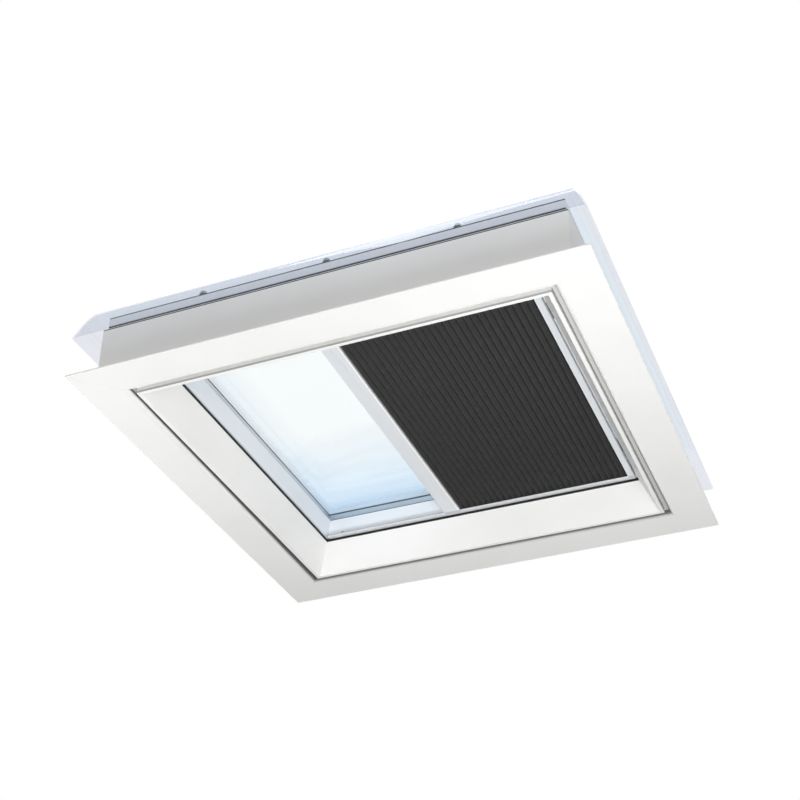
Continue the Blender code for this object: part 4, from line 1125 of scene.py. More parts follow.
class Copies(Groups):
    """Geometry Nodes trees that repeat a shape, and what runs them."""

    TREE = "GeometryNodeTree"
    INPUTS = {
        "copies_on_points": {
            "Geometry": "Geometry",
            "Shape": "Object",
            "Finish": "Material",
            "Most Turn": "Float",
            "Seed": "Int",
        },
        "cell_row": {
            "Geometry": "Geometry",
            "Cells": "Int",
            "First": "Float",
            "Pitch": "Float",
            "First Number": "Float",
            "Wander": "Float",
            "Cloth": "Material",
            "Lining": "Material",
        },
    }
    WANDER_SCALE = 9.0
    NOISE_MIDDLE = 0.5

    @staticmethod
    def copies_on_points(graph: Graph, given: Sockets) -> Sockets:
        """Put a turned copy of a shape on each point.

        Args:
            graph: The tree's graph.
            given: The tree's inputs.

        Returns:
            What the tree puts out.
        """
        shape = graph.node("GeometryNodeObjectInfo", {"Object": given["Shape"]})
        limits = {RANDOM_MOST: given["Most Turn"], "Seed": given["Seed"]}
        turn = graph.node("FunctionNodeRandomValue", limits).outputs[RANDOM]
        spin = graph.out("ShaderNodeCombineXYZ", {2: turn})
        tilt = graph.out("GeometryNodeInputNamedAttribute", {0: "tilt"}, data_type="FLOAT_VECTOR")
        laid, own = (graph.out("FunctionNodeEulerToRotation", {0: e}) for e in (tilt, spin))
        both = graph.out("FunctionNodeRotateRotation", {0: laid, 1: own}, rotation_space="LOCAL")
        pattern = shape.outputs["Geometry"]
        spots = {"Points": given["Geometry"], "Instance": pattern, "Rotation": both}
        copies = graph.out("GeometryNodeInstanceOnPoints", spots)
        real = graph.out("GeometryNodeRealizeInstances", {0: copies})
        worn = {"Geometry": real, "Material": given["Finish"]}
        return {"Geometry": graph.out("GeometryNodeSetMaterial", worn)}

    @classmethod
    def cell_row(cls, graph: Graph, given: Sockets) -> Sockets:
        """Repeat a cell of the cloth along X and let its folds wander.

        Args:
            graph: The tree's graph.
            given: The tree's inputs.

        Returns:
            What the tree puts out.
        """
        first, step = (
            graph.out("ShaderNodeCombineXYZ", {0: given[name]}) for name in ("First", "Pitch")
        )
        row = {"Count": given["Cells"], "Start Location": first, "Offset": step}
        line = graph.out("GeometryNodeMeshLine", row)
        spots = {"Points": line, "Instance": given["Geometry"]}
        copies = graph.out("GeometryNodeInstanceOnPoints", spots)
        number = graph.calc("ADD", graph.out("GeometryNodeInputIndex"), given["First Number"])
        numbered = graph.out(
            "GeometryNodeStoreNamedAttribute",
            {"Geometry": copies, "Name": "cell_number", "Value": number},
            data_type="FLOAT",
            domain="INSTANCE",
        )
        real = graph.out("GeometryNodeRealizeInstances", {0: numbered})
        drift = graph.noise(graph.out("GeometryNodeInputPosition"), cls.WANDER_SCALE)
        centred = graph.calc("SUBTRACT", drift, cls.NOISE_MIDDLE)
        shift = graph.out("ShaderNodeCombineXYZ", {2: graph.times(centred, given["Wander"])})
        moved = graph.out("GeometryNodeSetPosition", {"Geometry": real, "Offset": shift})
        dressed = {"Geometry": moved, "Material": given["Cloth"]}
        cloth = graph.out("GeometryNodeSetMaterial", dressed)
        within = graph.out("GeometryNodeInputNamedAttribute", {0: "lining"}, data_type="BOOLEAN")
        lined = {"Geometry": cloth, "Selection": within, "Material": given["Lining"]}
        return {"Geometry": graph.out("GeometryNodeSetMaterial", lined)}

    @classmethod
    def run(cls, obj: bpy.types.Object, name: str, values: dict) -> None:
        """Run a tree on an object and keep the result as its plain mesh.

        Args:
            obj: The object whose geometry goes in.
            name: Name of the tree.
            values: Value of each named input.
        """
        modifier = obj.modifiers.new("copies", "NODES")
        modifier.node_group = cls.tree(name)
        for item in modifier.node_group.interface.items_tree:
            if item.in_out == "INPUT" and item.name in values:
                modifier[item.identifier] = values[item.name]
        bake_modifiers(obj)

    @classmethod
    def scatter(
        cls,
        name: str,
        shape: bmesh.types.BMesh,
        places: list[tuple[Vector, Vector]],
        finish: Finish,
        most_turn: float,
    ) -> bpy.types.Object:
        """Put a copy of a shape on each place.

        Args:
            name: Name of the piece that holds the copies.
            shape: The shape about its own origin. It is used up.
            places: Each copy's place and its turns about X, Y and Z.
            finish: The copies' finish.
            most_turn: Most that a copy is turned about its own axis, in radians.

        Returns:
            One object with all the copies in its mesh.
        """
        pattern = object_of(name + "_shape", shape, SHARP_DEGREES)
        points = bpy.data.meshes.new(name)
        points.from_pydata([place for place, _ in places], [], [])
        tilt = points.attributes.new("tilt", "FLOAT_VECTOR", "POINT")
        tilt.data.foreach_set("vector", [turn for _, euler in places for turn in euler])
        obj = new_object(name, points)
        values = {
            "Shape": pattern,
            "Finish": finish.material(),
            "Most Turn": most_turn,
            "Seed": SEED,
        }
        cls.run(obj, "copies_on_points", values)
        bpy.data.objects.remove(pattern, do_unlink=True)
        return obj


@dataclass
class OuterFrame:
    """The base frame, and the sash that stands on it."""

    frame_rounding: float = 0.7 * MM
    sash_rounding: float = 0.9 * MM

    def build(self) -> None:
        """Round the edges of both plastic rings."""
        for node, name, radius in (
            ("base_frame", "base_frame_profile", self.frame_rounding),
            ("sash_frame", "sash_profile", self.sash_rounding),
        ):
            softened(node, name, radius, FINISHES[slot_of(node)], ring=True)


@dataclass
class GlassUnit:
    """The insulating glass: its spacer, whose holes are dark discs of painted shade, its edge seal
    and its trim.
    """

    hole_pitch: float = 6.0 * MM
    hole_radius: float = 0.7 * MM
    hole_taper: float = 0.8
    hole_height: float = 0.05 * MM
    hole_stand: float = 0.03 * MM
    hole_sides: int = 8
    hole_rows: tuple[float, ...] = (-4.0 * MM, 4.0 * MM)
    corner_margin: float = 9.0 * MM
    edge_gap: float = 0.4 * MM
    seal_setback: float = 2.0 * MM
    seal_hollow: float = 0.12
    trim_rounding: float = 0.8 * MM

    def build(self) -> None:
        """Make dark discs for the spacer's holes and the edge seal, and round the trim."""
        self.holes()
        self.edge_seal()
        silver = FINISHES["silver"]
        softened("glazing_trim", "glazing_trim_profile", self.trim_rounding, silver, ring=True)

    def holes(self) -> None:
        """Rows of dark discs along the inner face of the spacer, on all four sides: painted shade
        that stands in for its small holes.
        """
        vertices = frame["nodes"]["glass_spacer"].data.vertices
        inner = min(max(abs(v.co.x), abs(v.co.y)) for v in vertices)
        height = middle_of("glass_spacer").z
        reach = inner - self.corner_margin
        count = int(2 * reach / self.hole_pitch)
        places = []
        for quarter in range(4):
            turn = Matrix.Rotation(quarter * QUARTER, 3, "Z")
            euler = Vector((0.0, -QUARTER, quarter * QUARTER))
            for k in range(count + 1):
                along = -reach + 2 * reach * k / count
                for row in self.hole_rows:
                    spot = Vector((inner - self.hole_stand, along, height + row))
                    places.append((turn @ spot, euler))
        top = (self.hole_radius * self.hole_taper, self.hole_height)
        disc = turned_solid([(self.hole_radius, 0.0), top], self.hole_sides)
        # Painted shade: black discs stand in for the shaded insides of the holes.
        dots = Copies.scatter("spacer_holes", disc, places, FINISHES["black_rubber"], 0.0)
        settle(dots, Body.ROOT, None)

    def edge_seal(self) -> None:
        """Dark sealant that fills the edge of the unit outside its spacer."""
        low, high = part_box("glass_spacer")
        inner = high.x + self.edge_gap
        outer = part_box("lower_pane")[1].x - self.seal_setback
        waist = outer - (outer - inner) * self.seal_hollow
        section = [
            (inner, low.z),
            (outer, low.z),
            (waist, (low.z + high.z) / 2),
            (outer, high.z),
            (inner, high.z),
        ]
        corners = ((-1, -1), (1, -1), (1, 1), (-1, 1))
        bm = bmesh.new()
        skin(bm, [[(a * r, b * r, z) for r, z in section] for a, b in corners], closed=True)
        bmesh.ops.recalc_face_normals(bm, faces=bm.faces)
        seal = object_of("glass_edge_seal", bm)
        settle(seal, Body.ROOT, FINISHES["black_rubber"])


@dataclass
class Cover:
    """The clear dome with its flat rim and flared skirt, finer than the CAD solid.

    Its sizes beside the boxes of the CAD nodes are the profile's own offsets.
    """

    wall: float = 3.0 * MM
    skirt_radius: float = 8.0 * MM
    shoulder_run: float = 21.0 * MM
    shoulder_drop: float = 10.0 * MM
    shoulder_overhang: float = 9.0 * MM
    skirt_height: float = 83.0 * MM
    skirt_flare: float = 0.8
    dome_inset: float = 58.0 * MM
    foot_width: float = 8.0 * MM
    foot_rise: float = 5.0 * MM
    dome_radius: float = 60.0 * MM
    rounding: float = 0.9
    most_round: float = 0.85
    squareness: float = 2.3
    fullness: float = 1.7
    skirt_steps: int = 8
    shoulder_steps: int = 10
    dome_steps: int = 34
    corner_steps: int = 12

    def build(self) -> None:
        """Make the shell, open below, and replace the CAD node."""
        outer = self.profile()
        bm = bmesh.new()
        levels = self.inset(outer)[::-1] + outer
        rings = skin(bm, [self.ring(half, z, radius) for half, z, radius in levels])
        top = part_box("dome_cover")[1].z
        for ring, z in ((rings[0], top - self.wall), (rings[-1], top)):
            pole = bm.verts.new((0.0, 0.0, z))
            for vert, after in zip(ring, ring[1:] + ring[:1]):
                bm.faces.new((vert, after, pole))
        bmesh.ops.recalc_face_normals(bm, faces=bm.faces)
        shell = object_of("cover_shell", bm, SHARP_DEGREES)
        settle(shell, Body.ROOT, FINISHES["clear_cover"], ("dome_cover",))

    def profile(self) -> list[Point3]:
        """Draw the outer face, from the skirt's edge to the top.

        Returns:
            Half size, height and corner radius of each level.
        """
        low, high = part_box("dome_cover")
        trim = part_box("glazing_trim")[1].x
        rim_top = low.z + self.skirt_height
        shoulder = trim + self.shoulder_overhang
        fold_half = shoulder + self.shoulder_run
        fold_z = rim_top - self.shoulder_drop
        drop = self.skirt_height - self.shoulder_drop
        rows = []
        for i in range(self.skirt_steps):
            t = 1 - i / self.skirt_steps
            half = fold_half + (high.x - fold_half) * t**self.skirt_flare
            rows.append((half, fold_z - drop * t, self.skirt_radius))
        for c, s in arc(self.shoulder_steps):
            half = shoulder + self.shoulder_run * c
            rows.append((half, fold_z + self.shoulder_drop * s, self.skirt_radius))
        dome = trim - self.dome_inset
        rows.append((dome + self.foot_width, rim_top, self.dome_radius))
        foot = rim_top + self.foot_rise
        for c, s in arc(self.dome_steps)[:-1]:
            half = dome * c ** (2 / self.squareness)
            radius = self.dome_radius + (dome - half) * self.rounding
            z = foot + (high.z - foot) * s ** (2 / self.fullness)
            rows.append((half, z, min(radius, self.most_round * half)))
        return rows

    def inset(self, rows: list[Point3]) -> list[Point3]:
        """Move the outer face inwards by the wall, square to its slope.

        Args:
            rows: The outer face's levels, as profile() gives them.

        Returns:
            The inner face's levels.
        """
        half, z, radius = rows[0]
        moved = [(half - self.wall, z, radius - self.wall)]
        for before, (half, z, radius), after in zip(rows, rows[1:], rows[2:] + rows[-1:]):
            run = Vector((after[0] - before[0], after[1] - before[1])).normalized()
            inner_radius = max(radius - self.wall, MM)
            moved.append((half - run.y * self.wall, z + run.x * self.wall, inner_radius))
        return moved

    def ring(self, half: float, z: float, radius: float) -> list[Point3]:
        """Square with rounded corners.

        Args:
            half: Half of its size.
            z: Its height.
            radius: Radius of its corners.

        Returns:
            Its points, anticlockwise.
        """
        points = []
        for quarter, (sx, sy) in enumerate(((1, 1), (-1, 1), (-1, -1), (1, -1))):
            for i in range(self.corner_steps + 1):
                angle = QUARTER * (quarter + i / self.corner_steps)
                x = sx * (half - radius) + radius * math.cos(angle)
                y = sy * (half - radius) + radius * math.sin(angle)
                points.append((x, y, z))
        return points


@dataclass
class Fasteners:
    """Screws of the cover and of the side rails, with recesses in their heads."""

    cover_sides: int = 32
    rail_sides: int = 24
    arc_steps: int = 5
    tip_taper: float = 0.3
    recess_radius: float = 2.4 * MM
    recess_depth: float = 2.2 * MM
    recess_rim: float = 1.25
    recess_lip: float = 0.2 * MM
    recess_taper: float = 0.94
    washer_radius: float = 9.5 * MM
    washer_height: float = 2.0 * MM
    washer_edge: tuple[Point, ...] = (
        (-0.4 * MM, 0.0),
        (0.0, 0.4 * MM),
        (0.0, 0.9 * MM),
        (-0.5 * MM, 1.3 * MM),
    )
    head_flare: float = 0.6 * MM
    head_radius: float = 7.5 * MM
    head_height: float = 8.0 * MM
    head_straight: float = 0.55
    shank_radius: float = 2.6 * MM
    tip_length: float = 3.0 * MM
    rail_head: float = 3.2 * MM
    rail_rise: float = 1.8 * MM
    rail_shank: float = 1.5 * MM
    rail_tip: float = 2.0 * MM
    rail_crown: float = 0.45
    rail_recess: tuple[Point, Point] = ((0.42, 0.92), (0.36, 0.25))
    end_reach: float = 1.2 * MM

    def build(self) -> None:
        """Scatter both kinds of screw over the places of their CAD nodes."""
        self.cover_screws()
        self.rail_screws()

    def head_levels(self) -> list[Point]:
        """Draw a rounded head from its washer up, and down into its recess.

        Returns:
            Radius and height of each level.
        """
        base, recess = self.washer_height, self.recess_radius
        top = base + self.head_height
        straight = self.head_straight
        levels = [(self.head_radius, base), (self.head_radius, base + self.head_height * straight)]
        for c, s in arc(self.arc_steps, 1):
            reach = self.head_radius - (self.head_radius - recess * self.recess_rim) * (1 - c)
            levels.append((reach, base + self.head_height * (straight + (1 - straight) * s)))
        levels.append((recess, top - self.recess_lip))
        levels.append((recess * self.recess_taper, top - self.recess_depth))
        return levels

    def cover_screws(self) -> None:
        """Twelve sealing screws on the cover's rim, each with a domed washer."""
        names = nodes_of("cover_screw_")
        low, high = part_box(names[0])
        seat = high.z - self.head_height - self.washer_height
        shank = low.z - seat
        levels = [
            (self.shank_radius * self.tip_taper, shank),
            (self.shank_radius, shank + self.tip_length),
            (self.shank_radius, 0.0),
        ]
        levels += [(self.washer_radius + out, up) for out, up in self.washer_edge]
        levels.append((self.head_radius + self.head_flare, self.washer_height))
        shape = turned_solid(levels + self.head_levels(), self.cover_sides)
        middles = [middle_of(name) for name in names]
        places = [(Vector((middle.x, middle.y, seat)), Vector()) for middle in middles]
        self.scatter("cover_screws", shape, places, names)

    def rail_screws(self) -> None:
        """Small pan-head screws through the webs of the side rails."""
        names = nodes_of("rail_screw_")
        head, rise, shank = self.rail_head, self.rail_rise, self.rail_shank
        places = []
        for name in names:
            tip, crown = self.ends(name)
            ahead = (crown - tip).normalized()
            places.append((crown - ahead * rise, Vector(ahead.to_track_quat("Z", "Y").to_euler())))
        tip, crown = self.ends(names[0])
        start = rise - (crown - tip).length
        levels = [(shank * self.tip_taper, start), (shank, start + self.rail_tip)]
        levels += [(shank, 0.0), (head, 0.0)]
        flat = self.rail_crown
        levels += [(head * (flat + (1 - flat) * c), rise * s) for c, s in arc(self.arc_steps, 1)]
        levels += [(head * across, rise * up) for across, up in self.rail_recess]
        shape = turned_solid(levels, self.rail_sides)
        self.scatter("rail_screws", shape, places, names)

    @staticmethod
    def scatter(name: str, shape: bmesh.types.BMesh, places: list, names: list[str]) -> None:
        """Put a screw on each place, turned at random, and replace the CAD nodes."""
        screws = Copies.scatter(name, shape, places, FINISHES["steel"], math.pi)
        settle(screws, Body.ROOT, None, tuple(names))

    def ends(self, name: str) -> tuple[Vector, Vector]:
        """Find the ends of a rail screw.

        Args:
            name: The screw's CAD node.

        Returns:
            The middles of its tip and of its crown, which is nearer to the opening.
        """
        points = [v.co.copy() for v in frame["nodes"][name].data.vertices]
        side = -1 if points[0].y < 0 else 1
        outermost = max(side * p.y for p in points)
        innermost = min(side * p.y for p in points)
        tip = [p for p in points if side * p.y > outermost - self.end_reach]
        crown = [p for p in points if side * p.y < innermost + self.end_reach]
        return sum(tip, Vector()) / len(tip), sum(crown, Vector()) / len(crown)


@dataclass
class Rails:
    """Side rails, the head rail and the front bar, with their end caps."""

    rail_rounding: float = 0.3 * MM
    bar_rounding: float = 0.35 * MM
    cap_rounding: float = 0.6 * MM

    def build(self) -> None:
        """Round each profile's edges and give it lines that follow its own length."""
        for word in ("near", "far"):
            rail = f"side_rail_{word}"
            softened(rail, f"{rail}_profile", self.rail_rounding, RAIL, steps=1)
            for kind in ("bar", "head"):
                cap = f"{kind}_end_cap_{word}"
                grey = FINISHES["grey_plastic"]
                softened(cap, f"{cap}_moulding", self.cap_rounding, grey, steps=1)
        for bar in ("bar_profile", "head_rail"):
            softened(bar, f"{bar}_tube", self.bar_rounding, BAR)


@dataclass
class Drive:
    """Motor and battery cells inside the front bar."""

    motor_sides: int = 48
    can_rib: float = 0.35 * MM
    rib_places: tuple[float, ...] = (0.06, 0.62, 0.66, 0.7, 0.94)
    rib_foot: float = 1.6 * MM
    rib_top: float = 1.0 * MM
    boss: float = 4.0 * MM
    bore: float = 1.8 * MM
    bore_depth: float = 14.0 * MM
    back_step: float = 0.45
    back_face: float = 0.9
    back_edge: float = 0.6 * MM
    front_face: float = 0.93
    front_edge: float = 0.8 * MM
    boss_edge: float = 0.4 * MM
    cell_sides: int = 40
    cell_count: int = 5
    cell_neck: float = 1.0 * MM
    neck_radius: float = 6.0 * MM
    cell_round: float = 1.2 * MM
    cell_steps: int = 4
    sharp_degrees: float = 30.0

    def build(self) -> None:
        """Make the motor's can and the stick of cells finer than their CAD solids."""
        self.motor()
        self.cells()

    def motor(self) -> None:
        """The can with its crimped rings, gearbox joint and boss."""
        low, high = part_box("motor_body")
        radius = (high.z - low.z) / 2
        boss = self.boss
        length = high.y - low.y - boss
        wall = radius - self.can_rib
        levels = [(radius * self.back_step, 0.0), (radius * self.back_face, 0.0)]
        levels.append((wall, self.back_edge))
        foot, top = self.rib_foot, self.rib_top
        ramps = ((wall, -foot), (radius, -top), (radius, top), (wall, foot))
        for share in self.rib_places:
            levels += [(reach, length * share + step) for reach, step in ramps]
        levels += [
            (wall, length - self.front_edge),
            (radius * self.front_face, length),
            (boss, length),
            (boss, length + boss - self.boss_edge),
            (boss - self.boss_edge, length + boss),
            (self.bore, length + boss),
            (self.bore, length - self.bore_depth),
        ]
        self.lay("motor_can", levels, "motor_body", self.motor_sides)

    def cells(self) -> None:
        """Cells in one shrink sleeve that draws in between them."""
        low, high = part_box("battery_pack")
        radius = (high.x - low.x) / 2
        step = (high.y - low.y + self.cell_neck) / self.cell_count
        cell = step - self.cell_neck
        shoulder = []
        for k, (_, s) in enumerate(arc(self.cell_steps)):
            shrink = (radius - self.neck_radius) * (1 - s)
            shoulder.append((radius - shrink, self.cell_round * k / self.cell_steps))
        levels = []
        for k in range(self.cell_count):
            levels += [(reach, k * step + at) for reach, at in shoulder]
            levels += [(reach, k * step + cell - at) for reach, at in reversed(shoulder)]
        self.lay("cell_stick", levels, "battery_pack", self.cell_sides)

    def lay(self, name: str, levels: list[Point], node: str, sides: int) -> None:
        """Turn a profile about an axis along Y through a CAD node, and replace the node.

        Args:
            name: Name of the new piece.
            levels: Radius and distance from the node's near end, for each level.
            node: The CAD node.
            sides: Faces round the piece.
        """
        middle = middle_of(node)
        start = Matrix.Translation((middle.x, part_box(node)[0].y, middle.z))
        bm = turned_solid(levels, sides)
        bm.transform(start @ Matrix.Rotation(-QUARTER, 4, "X"))
        bmesh.ops.recalc_face_normals(bm, faces=bm.faces)
        obj = object_of(name, bm, self.sharp_degrees)
        slot = slot_of(node)
        settle(obj, body_of(node), FINISHES[slot], (node,))


@dataclass
class Honeycomb:
    """The honeycomb cloth: a row of tubes of thin cloth, glued to each other.

    The tubes are made in groups.
    """

    cells: int = 28
    thickness: float = 0.32 * MM
    land: float = 3.0 * MM
    glue: float = 0.04 * MM
    fold_radius: float = 0.8 * MM
    land_radius: float = 0.7 * MM
    bow: float = 0.35 * MM
    long_face: float = 4.0 * MM
    wander: float = 0.5 * MM
    strip: float = 0.25 * MM
    strip_gap: float = 0.03 * MM
    face_steps: int = 3
    arc_steps: int = 3
    length_steps: int = 36
    number_step: float = 3.7
    sharp_degrees: float = 50.0
    group_cells: tuple[float, ...] = (0.5, 1, 1, 2, 4, 11, 4, 2, 1, 1, 0.5)

    def build(self) -> None:
        """Make each group of tubes, from the head rail to the front bar."""
        low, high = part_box("honeycomb_cloth")
        pitch = (high.x - low.x) / self.cells
        done = 0.0
        for number, count in enumerate(self.group_cells, start=1):
            right = high.x - done * pitch
            left = right - count * pitch
            corners, centre = self.section(pitch), left + pitch / 2
            if count < 1:
                at_bar = left < low.x + pitch
                corners = corners[:4] if at_bar else corners[3:] + corners[:1]
                centre = left if at_bar else right
            whole = max(int(count), 1)
            tube, around = self.tube(corners, bowed=count >= 1)
            obj = object_of(f"cloth_cells_{number:02d}", tube, self.sharp_degrees)
            values = {
                "Cells": whole,
                "First": centre,
                "Pitch": pitch,
                "First Number": done * self.number_step,
                "Wander": self.wander,
                "Cloth": FINISHES["dark_cloth"].material(),
                "Lining": LINING.material(),
            }
            Copies.run(obj, "cell_row", values)
            self.join(obj)
            if number == 1:
                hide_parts("honeycomb_cloth")
            log.info("%s bends between the rails, %d faces", obj.name, len(obj.data.polygons))
            done += count

    def join(self, obj: bpy.types.Object) -> None:
        """Bake a group's placing into its mesh.

        Args:
            obj: The group.
        """
        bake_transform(obj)

    def section(self, pitch: float) -> list[Point3]:
        """Draw a full tube about its fold.

        Args:
            pitch: Distance from fold to fold.

        Returns:
            Its corners as (along X, height, radius), anticlockwise from the lower fold.
        """
        low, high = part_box("honeycomb_cloth")
        side = pitch / 2 - self.glue
        half = (high.z - low.z) / 2
        land = self.land / 2
        rim, flat = self.fold_radius, self.land_radius
        right = [(0.0, -half, rim), (side, -land, flat), (side, land, flat)]
        return right + [(-x, -z, radius) for x, z, radius in right]

    def outline(self, corners: list[Point3], bowed: bool) -> list[Point]:
        """Round a tube's corners, and bow its long faces slightly.

        Args:
            corners: The tube's corners.
            bowed: Whether its long faces are bowed.

        Returns:
            The points of its outer loop.
        """
        loop = rounded_loop(corners, self.arc_steps)
        if not bowed:
            return loop
        points: list[Point] = []
        for here, after in zip(loop, loop[1:] + loop[:1]):
            points.append(here)
            run = Vector(after) - Vector(here)
            if run.length < self.long_face:
                continue
            for k in range(1, self.face_steps + 1):
                t = k / (self.face_steps + 1)
                sag = inward(run) * self.bow * math.sin(math.pi * t)
                points.append(tuple(Vector(here) + run * t + sag))
        return points

    def tube(self, corners: list[Point3], bowed: bool) -> tuple[bmesh.types.BMesh, float]:
        """Make one tube of cloth about its own origin, open at both ends.

        Args:
            corners: The tube's corners.
            bowed: Whether its long faces are bowed.

        Returns:
            The mesh, and the length of cloth round the tube.
        """
        low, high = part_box("honeycomb_cloth")
        middle, half_height = (low.z + high.z) / 2, (high.z - low.z) / 2
        outer = [Vector(point) for point in self.outline(corners, bowed)]
        after = outer[1:] + outer[:1]
        before = outer[-1:] + outer[:-1]
        inner = [p + inward(b - a) * self.thickness for p, a, b in zip(outer, before, after)]
        lengths = [(b - p).length for p, b in zip(outer, after)]
        count = len(outer)
        arcs = [sum(lengths[:i]) for i in range(count + 1)]
        bm = bmesh.new()
        flat = bm.loops.layers.uv.new("flat")
        lining = bm.faces.layers.bool.new("lining")
        depth = bm.verts.layers.float.new("fold_share")
        steps = self.length_steps
        ys = [low.y + (high.y - low.y) * k / steps for k in range(steps + 1)]
        shells = []
        for loop in (outer, inner):
            rows = [[bm.verts.new((x, y, middle + z)) for x, z in loop] for y in ys]
            for row in rows:
                for vert, point in zip(row, loop):
                    vert[depth] = min(abs(point.y) / half_height, 1.0)
            shells.append(rows)
        for within, rows in enumerate(shells):
            way = -1 if within else 1
            for k in range(steps):
                for i in range(count):
                    j = (i + 1) % count
                    quad = [rows[k][i], rows[k + 1][i], rows[k + 1][j], rows[k][j]]
                    spots = [(ys[k], arcs[i]), (ys[k + 1], arcs[i])]
                    spots += [(ys[k + 1], arcs[i + 1]), (ys[k], arcs[i + 1])]
                    face = bm.faces.new(quad[::way])
                    face[lining] = bool(within)
                    for corner, spot in zip(face.loops, spots[::way]):
                        corner[flat].uv = spot
        for k in (0, steps):
            outside, inside = shells[0][k], shells[1][k]
            for i in range(count):
                j = (i + 1) % count
                bm.faces.new((outside[i], outside[j], inside[j], inside[i]))
        self.end_shade_strips(bm, [x for x, _ in outer], depth)
        bmesh.ops.recalc_face_normals(bm, faces=bm.faces)
        return bm, arcs[-1]

    def end_shade_strips(self, bm: bmesh.types.BMesh, xs: list[float], depth: object) -> None:
        """Close both ends of a tube's stretch with a thin strip of dark cloth, as wide as the tube:
        a dark sheet put in for the shade at the cloth's ends.

        Args:
            bm: The tube's mesh.
            xs: Places of the tube's outline along X.
            depth: Layer that says how far out of the folds a point lies.
        """
        low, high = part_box("honeycomb_cloth")
        sides = (min(xs), max(xs))
        for end, out in ((low.y, -1), (high.y, 1)):
            near = end + out * self.strip_gap
            levels = (near, near + out * self.strip)
            spots = [(x, y, z) for z in (low.z, high.z) for y in levels for x in sides]
            points = [bm.verts.new(spot) for spot in spots]
            for point in points:
                # The strips take the darkest painted crease shade.
                point[depth] = 0.0
            for first, u, v in ((0, 1, 2), (4, 1, 2), (0, 1, 4), (2, 1, 4), (0, 2, 4), (1, 2, 4)):
                loop = (first, first + u, first + u + v, first + v)
                bm.faces.new([points[i] for i in loop])


@dataclass(frozen=True)
class Lamp:
    """A square lamp that lights the skylight's middle to a level.

    The level is how bright a white face at the middle, square to the lamp, renders.
    """

    name: str
    place: Point3
    size: float
    level: float
    target: Point3 = (0.0, 0.0, 0.1)

    def build(self) -> None:
        """Add the lamp, unseen by the camera and through the glass."""
        data = bpy.data.lights.new(self.name, "AREA")
        data.shape = "RECTANGLE"
        data.size = data.size_y = self.size
        beam = Vector(self.target) - Vector(self.place)
        data.energy = math.pi**2 * beam.length**2 * self.level
        obj = bpy.data.objects.new(self.name, data)
        obj.location = self.place
        obj.rotation_mode = "QUATERNION"
        obj.rotation_quaternion = beam.to_track_quat("-Z", "Y")
        obj.visible_camera = False
        obj.visible_transmission = False
        bpy.context.scene.collection.objects.link(obj)


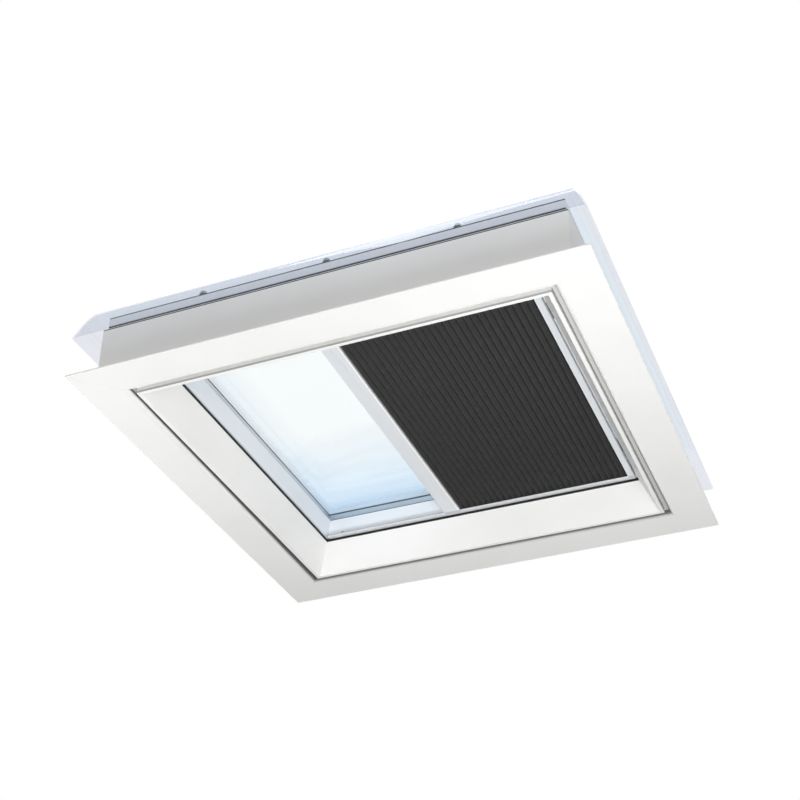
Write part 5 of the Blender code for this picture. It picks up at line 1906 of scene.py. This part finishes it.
@dataclass
class Studio:
    """Camera, lamps, floor and background."""

    camera_place: Point3 = (1.09751, -2.80931, -1.88843)
    yaw: float = math.radians(-22.1386)
    pitch: float = math.radians(34.2803)
    roll: float = math.radians(0.0816)
    lens: float = 65.706
    sensor: float = 36.0
    clip: Point = (0.05, 60.0)
    floor_height: float = -3.6
    floor_half: float = 9.0
    floor_tones: Point = (0.86, 0.9)
    floor_mottle: float = 1.5
    floor_glow: float = 0.68
    dim_floor: float = 0.3
    dim_world: float = 0.46
    bounced: float = 0.5
    lamps: tuple[Lamp, ...] = (
        Lamp("key_lamp", (1.2, -1.4, -2.3), 1.2, 0.66),
        Lamp("front_lamp", (2.4, -4.2, -2.3), 1.6, 0.17),
        Lamp("fill_lamp", (-1.2, -0.5, -0.8), 1.0, 0.21),
        Lamp("sky_lamp", (-0.4, 0.6, 3.2), 2.6, 0.7),
        Lamp("back_lamp", (-1.8, 3.2, 1.5), 1.6, 0.42),
    )

    def build(self) -> None:
        """Set up all of it."""
        self.camera()
        self.world()
        for lamp in self.lamps:
            lamp.build()
        self.floor()

    def camera(self) -> None:
        """The camera at the photograph's angle, under the skylight."""
        data = bpy.data.cameras.new("camera")
        data.lens = self.lens
        data.sensor_width = self.sensor
        data.clip_start, data.clip_end = self.clip
        obj = bpy.data.objects.new("camera", data)
        bpy.context.scene.collection.objects.link(obj)
        level = math.cos(self.pitch)
        east, north = math.sin(self.yaw), math.cos(self.yaw)
        ahead = Vector((east * level, north * level, math.sin(self.pitch)))
        right = Vector((north, -east, 0.0))
        up = right.cross(ahead)
        c, s = math.cos(self.roll), math.sin(self.roll)
        right, up = right * c + up * s, up * c - right * s
        turn = Matrix((right, up, -ahead)).transposed()
        obj.matrix_world = Matrix.Translation(self.camera_place) @ turn.to_4x4()
        bpy.context.scene.camera = obj

    def world(self) -> None:
        """White to the eye and in gloss and glass, and dim as a light."""
        made = bpy.data.worlds.new("studio")
        made.use_nodes = True
        graph = Graph(made.node_tree)
        strength = graph.scaled(self.eye(graph), 0.0, 1.0, self.dim_world, 1.0)
        shader = made.node_tree.nodes["Background"]
        graph.fill(shader, {"Color": opaque(WHITE), "Strength": strength})
        bpy.context.scene.world = made
        bpy.context.scene.view_settings.view_transform = "Standard"

    def eye(self, graph: Graph) -> Socket:
        """Add a mask of what is looked at, straight, in gloss or through glass.

        Args:
            graph: The graph that uses it.

        Returns:
            The mask.
        """
        path = graph.node("ShaderNodeLightPath").outputs
        seen = graph.calc("MAXIMUM", path["Is Camera Ray"], path["Is Glossy Ray"])
        seen = graph.calc("MAXIMUM", seen, path["Is Transmission Ray"])
        return graph.times(seen, graph.calc("LESS_THAN", path["Diffuse Depth"], self.bounced))

    def floor(self) -> None:
        """A pale floor well below the hung skylight, which keeps its soft shadow."""
        h, z = self.floor_half, self.floor_height
        mesh = bpy.data.meshes.new("floor")
        mesh.from_pydata([(-h, -h, z), (h, -h, z), (h, h, z), (-h, h, z)], [], [(0, 1, 2, 3)])
        floor = new_object("floor", mesh)
        made = bpy.data.materials.new("floor_paper")
        made.use_nodes = True
        nodes = made.node_tree.nodes
        nodes.remove(nodes["Principled BSDF"])
        graph = Graph(made.node_tree)
        tones = [(level, level, level) for level in self.floor_tones]
        paper = graph.between(graph.noise(graph.place(), self.floor_mottle), *tones)
        lit = graph.out("ShaderNodeBsdfDiffuse", {"Color": paper})
        glow = graph.out("ShaderNodeEmission", {"Color": opaque(WHITE), "Strength": 1.0})
        seen = graph.out("ShaderNodeMixShader", {0: self.floor_glow, 1: lit, 2: glow})
        grey = (self.dim_floor, self.dim_floor, self.dim_floor)
        dim = graph.out("ShaderNodeBsdfDiffuse", {"Color": opaque(grey)})
        both = graph.out("ShaderNodeMixShader", {0: self.eye(graph), 1: dim, 2: seen})
        graph.fill(nodes["Material Output"], {"Surface": both})
        mesh.materials.append(made)


def dress_cad_nodes() -> None:
    """Give every CAD node the finish of its slot, replaced or not."""
    for name, obj in frame["nodes"].items():
        finish = FINISHES[slot_of(name)]
        obj.data.materials.clear()
        obj.data.materials.append(finish.material())
        log.info("%s wears %s", name, finish.name)


def main() -> None:
    """Build the studio and the pieces in order."""
    logging.basicConfig(level=logging.INFO, format="%(name)s: %(message)s")
    Studio().build()
    dress_cad_nodes()
    for part in (OuterFrame, GlassUnit, Cover, Fasteners, Rails, Drive, Honeycomb):
        part().build()


if __name__ == "__main__":
    main()
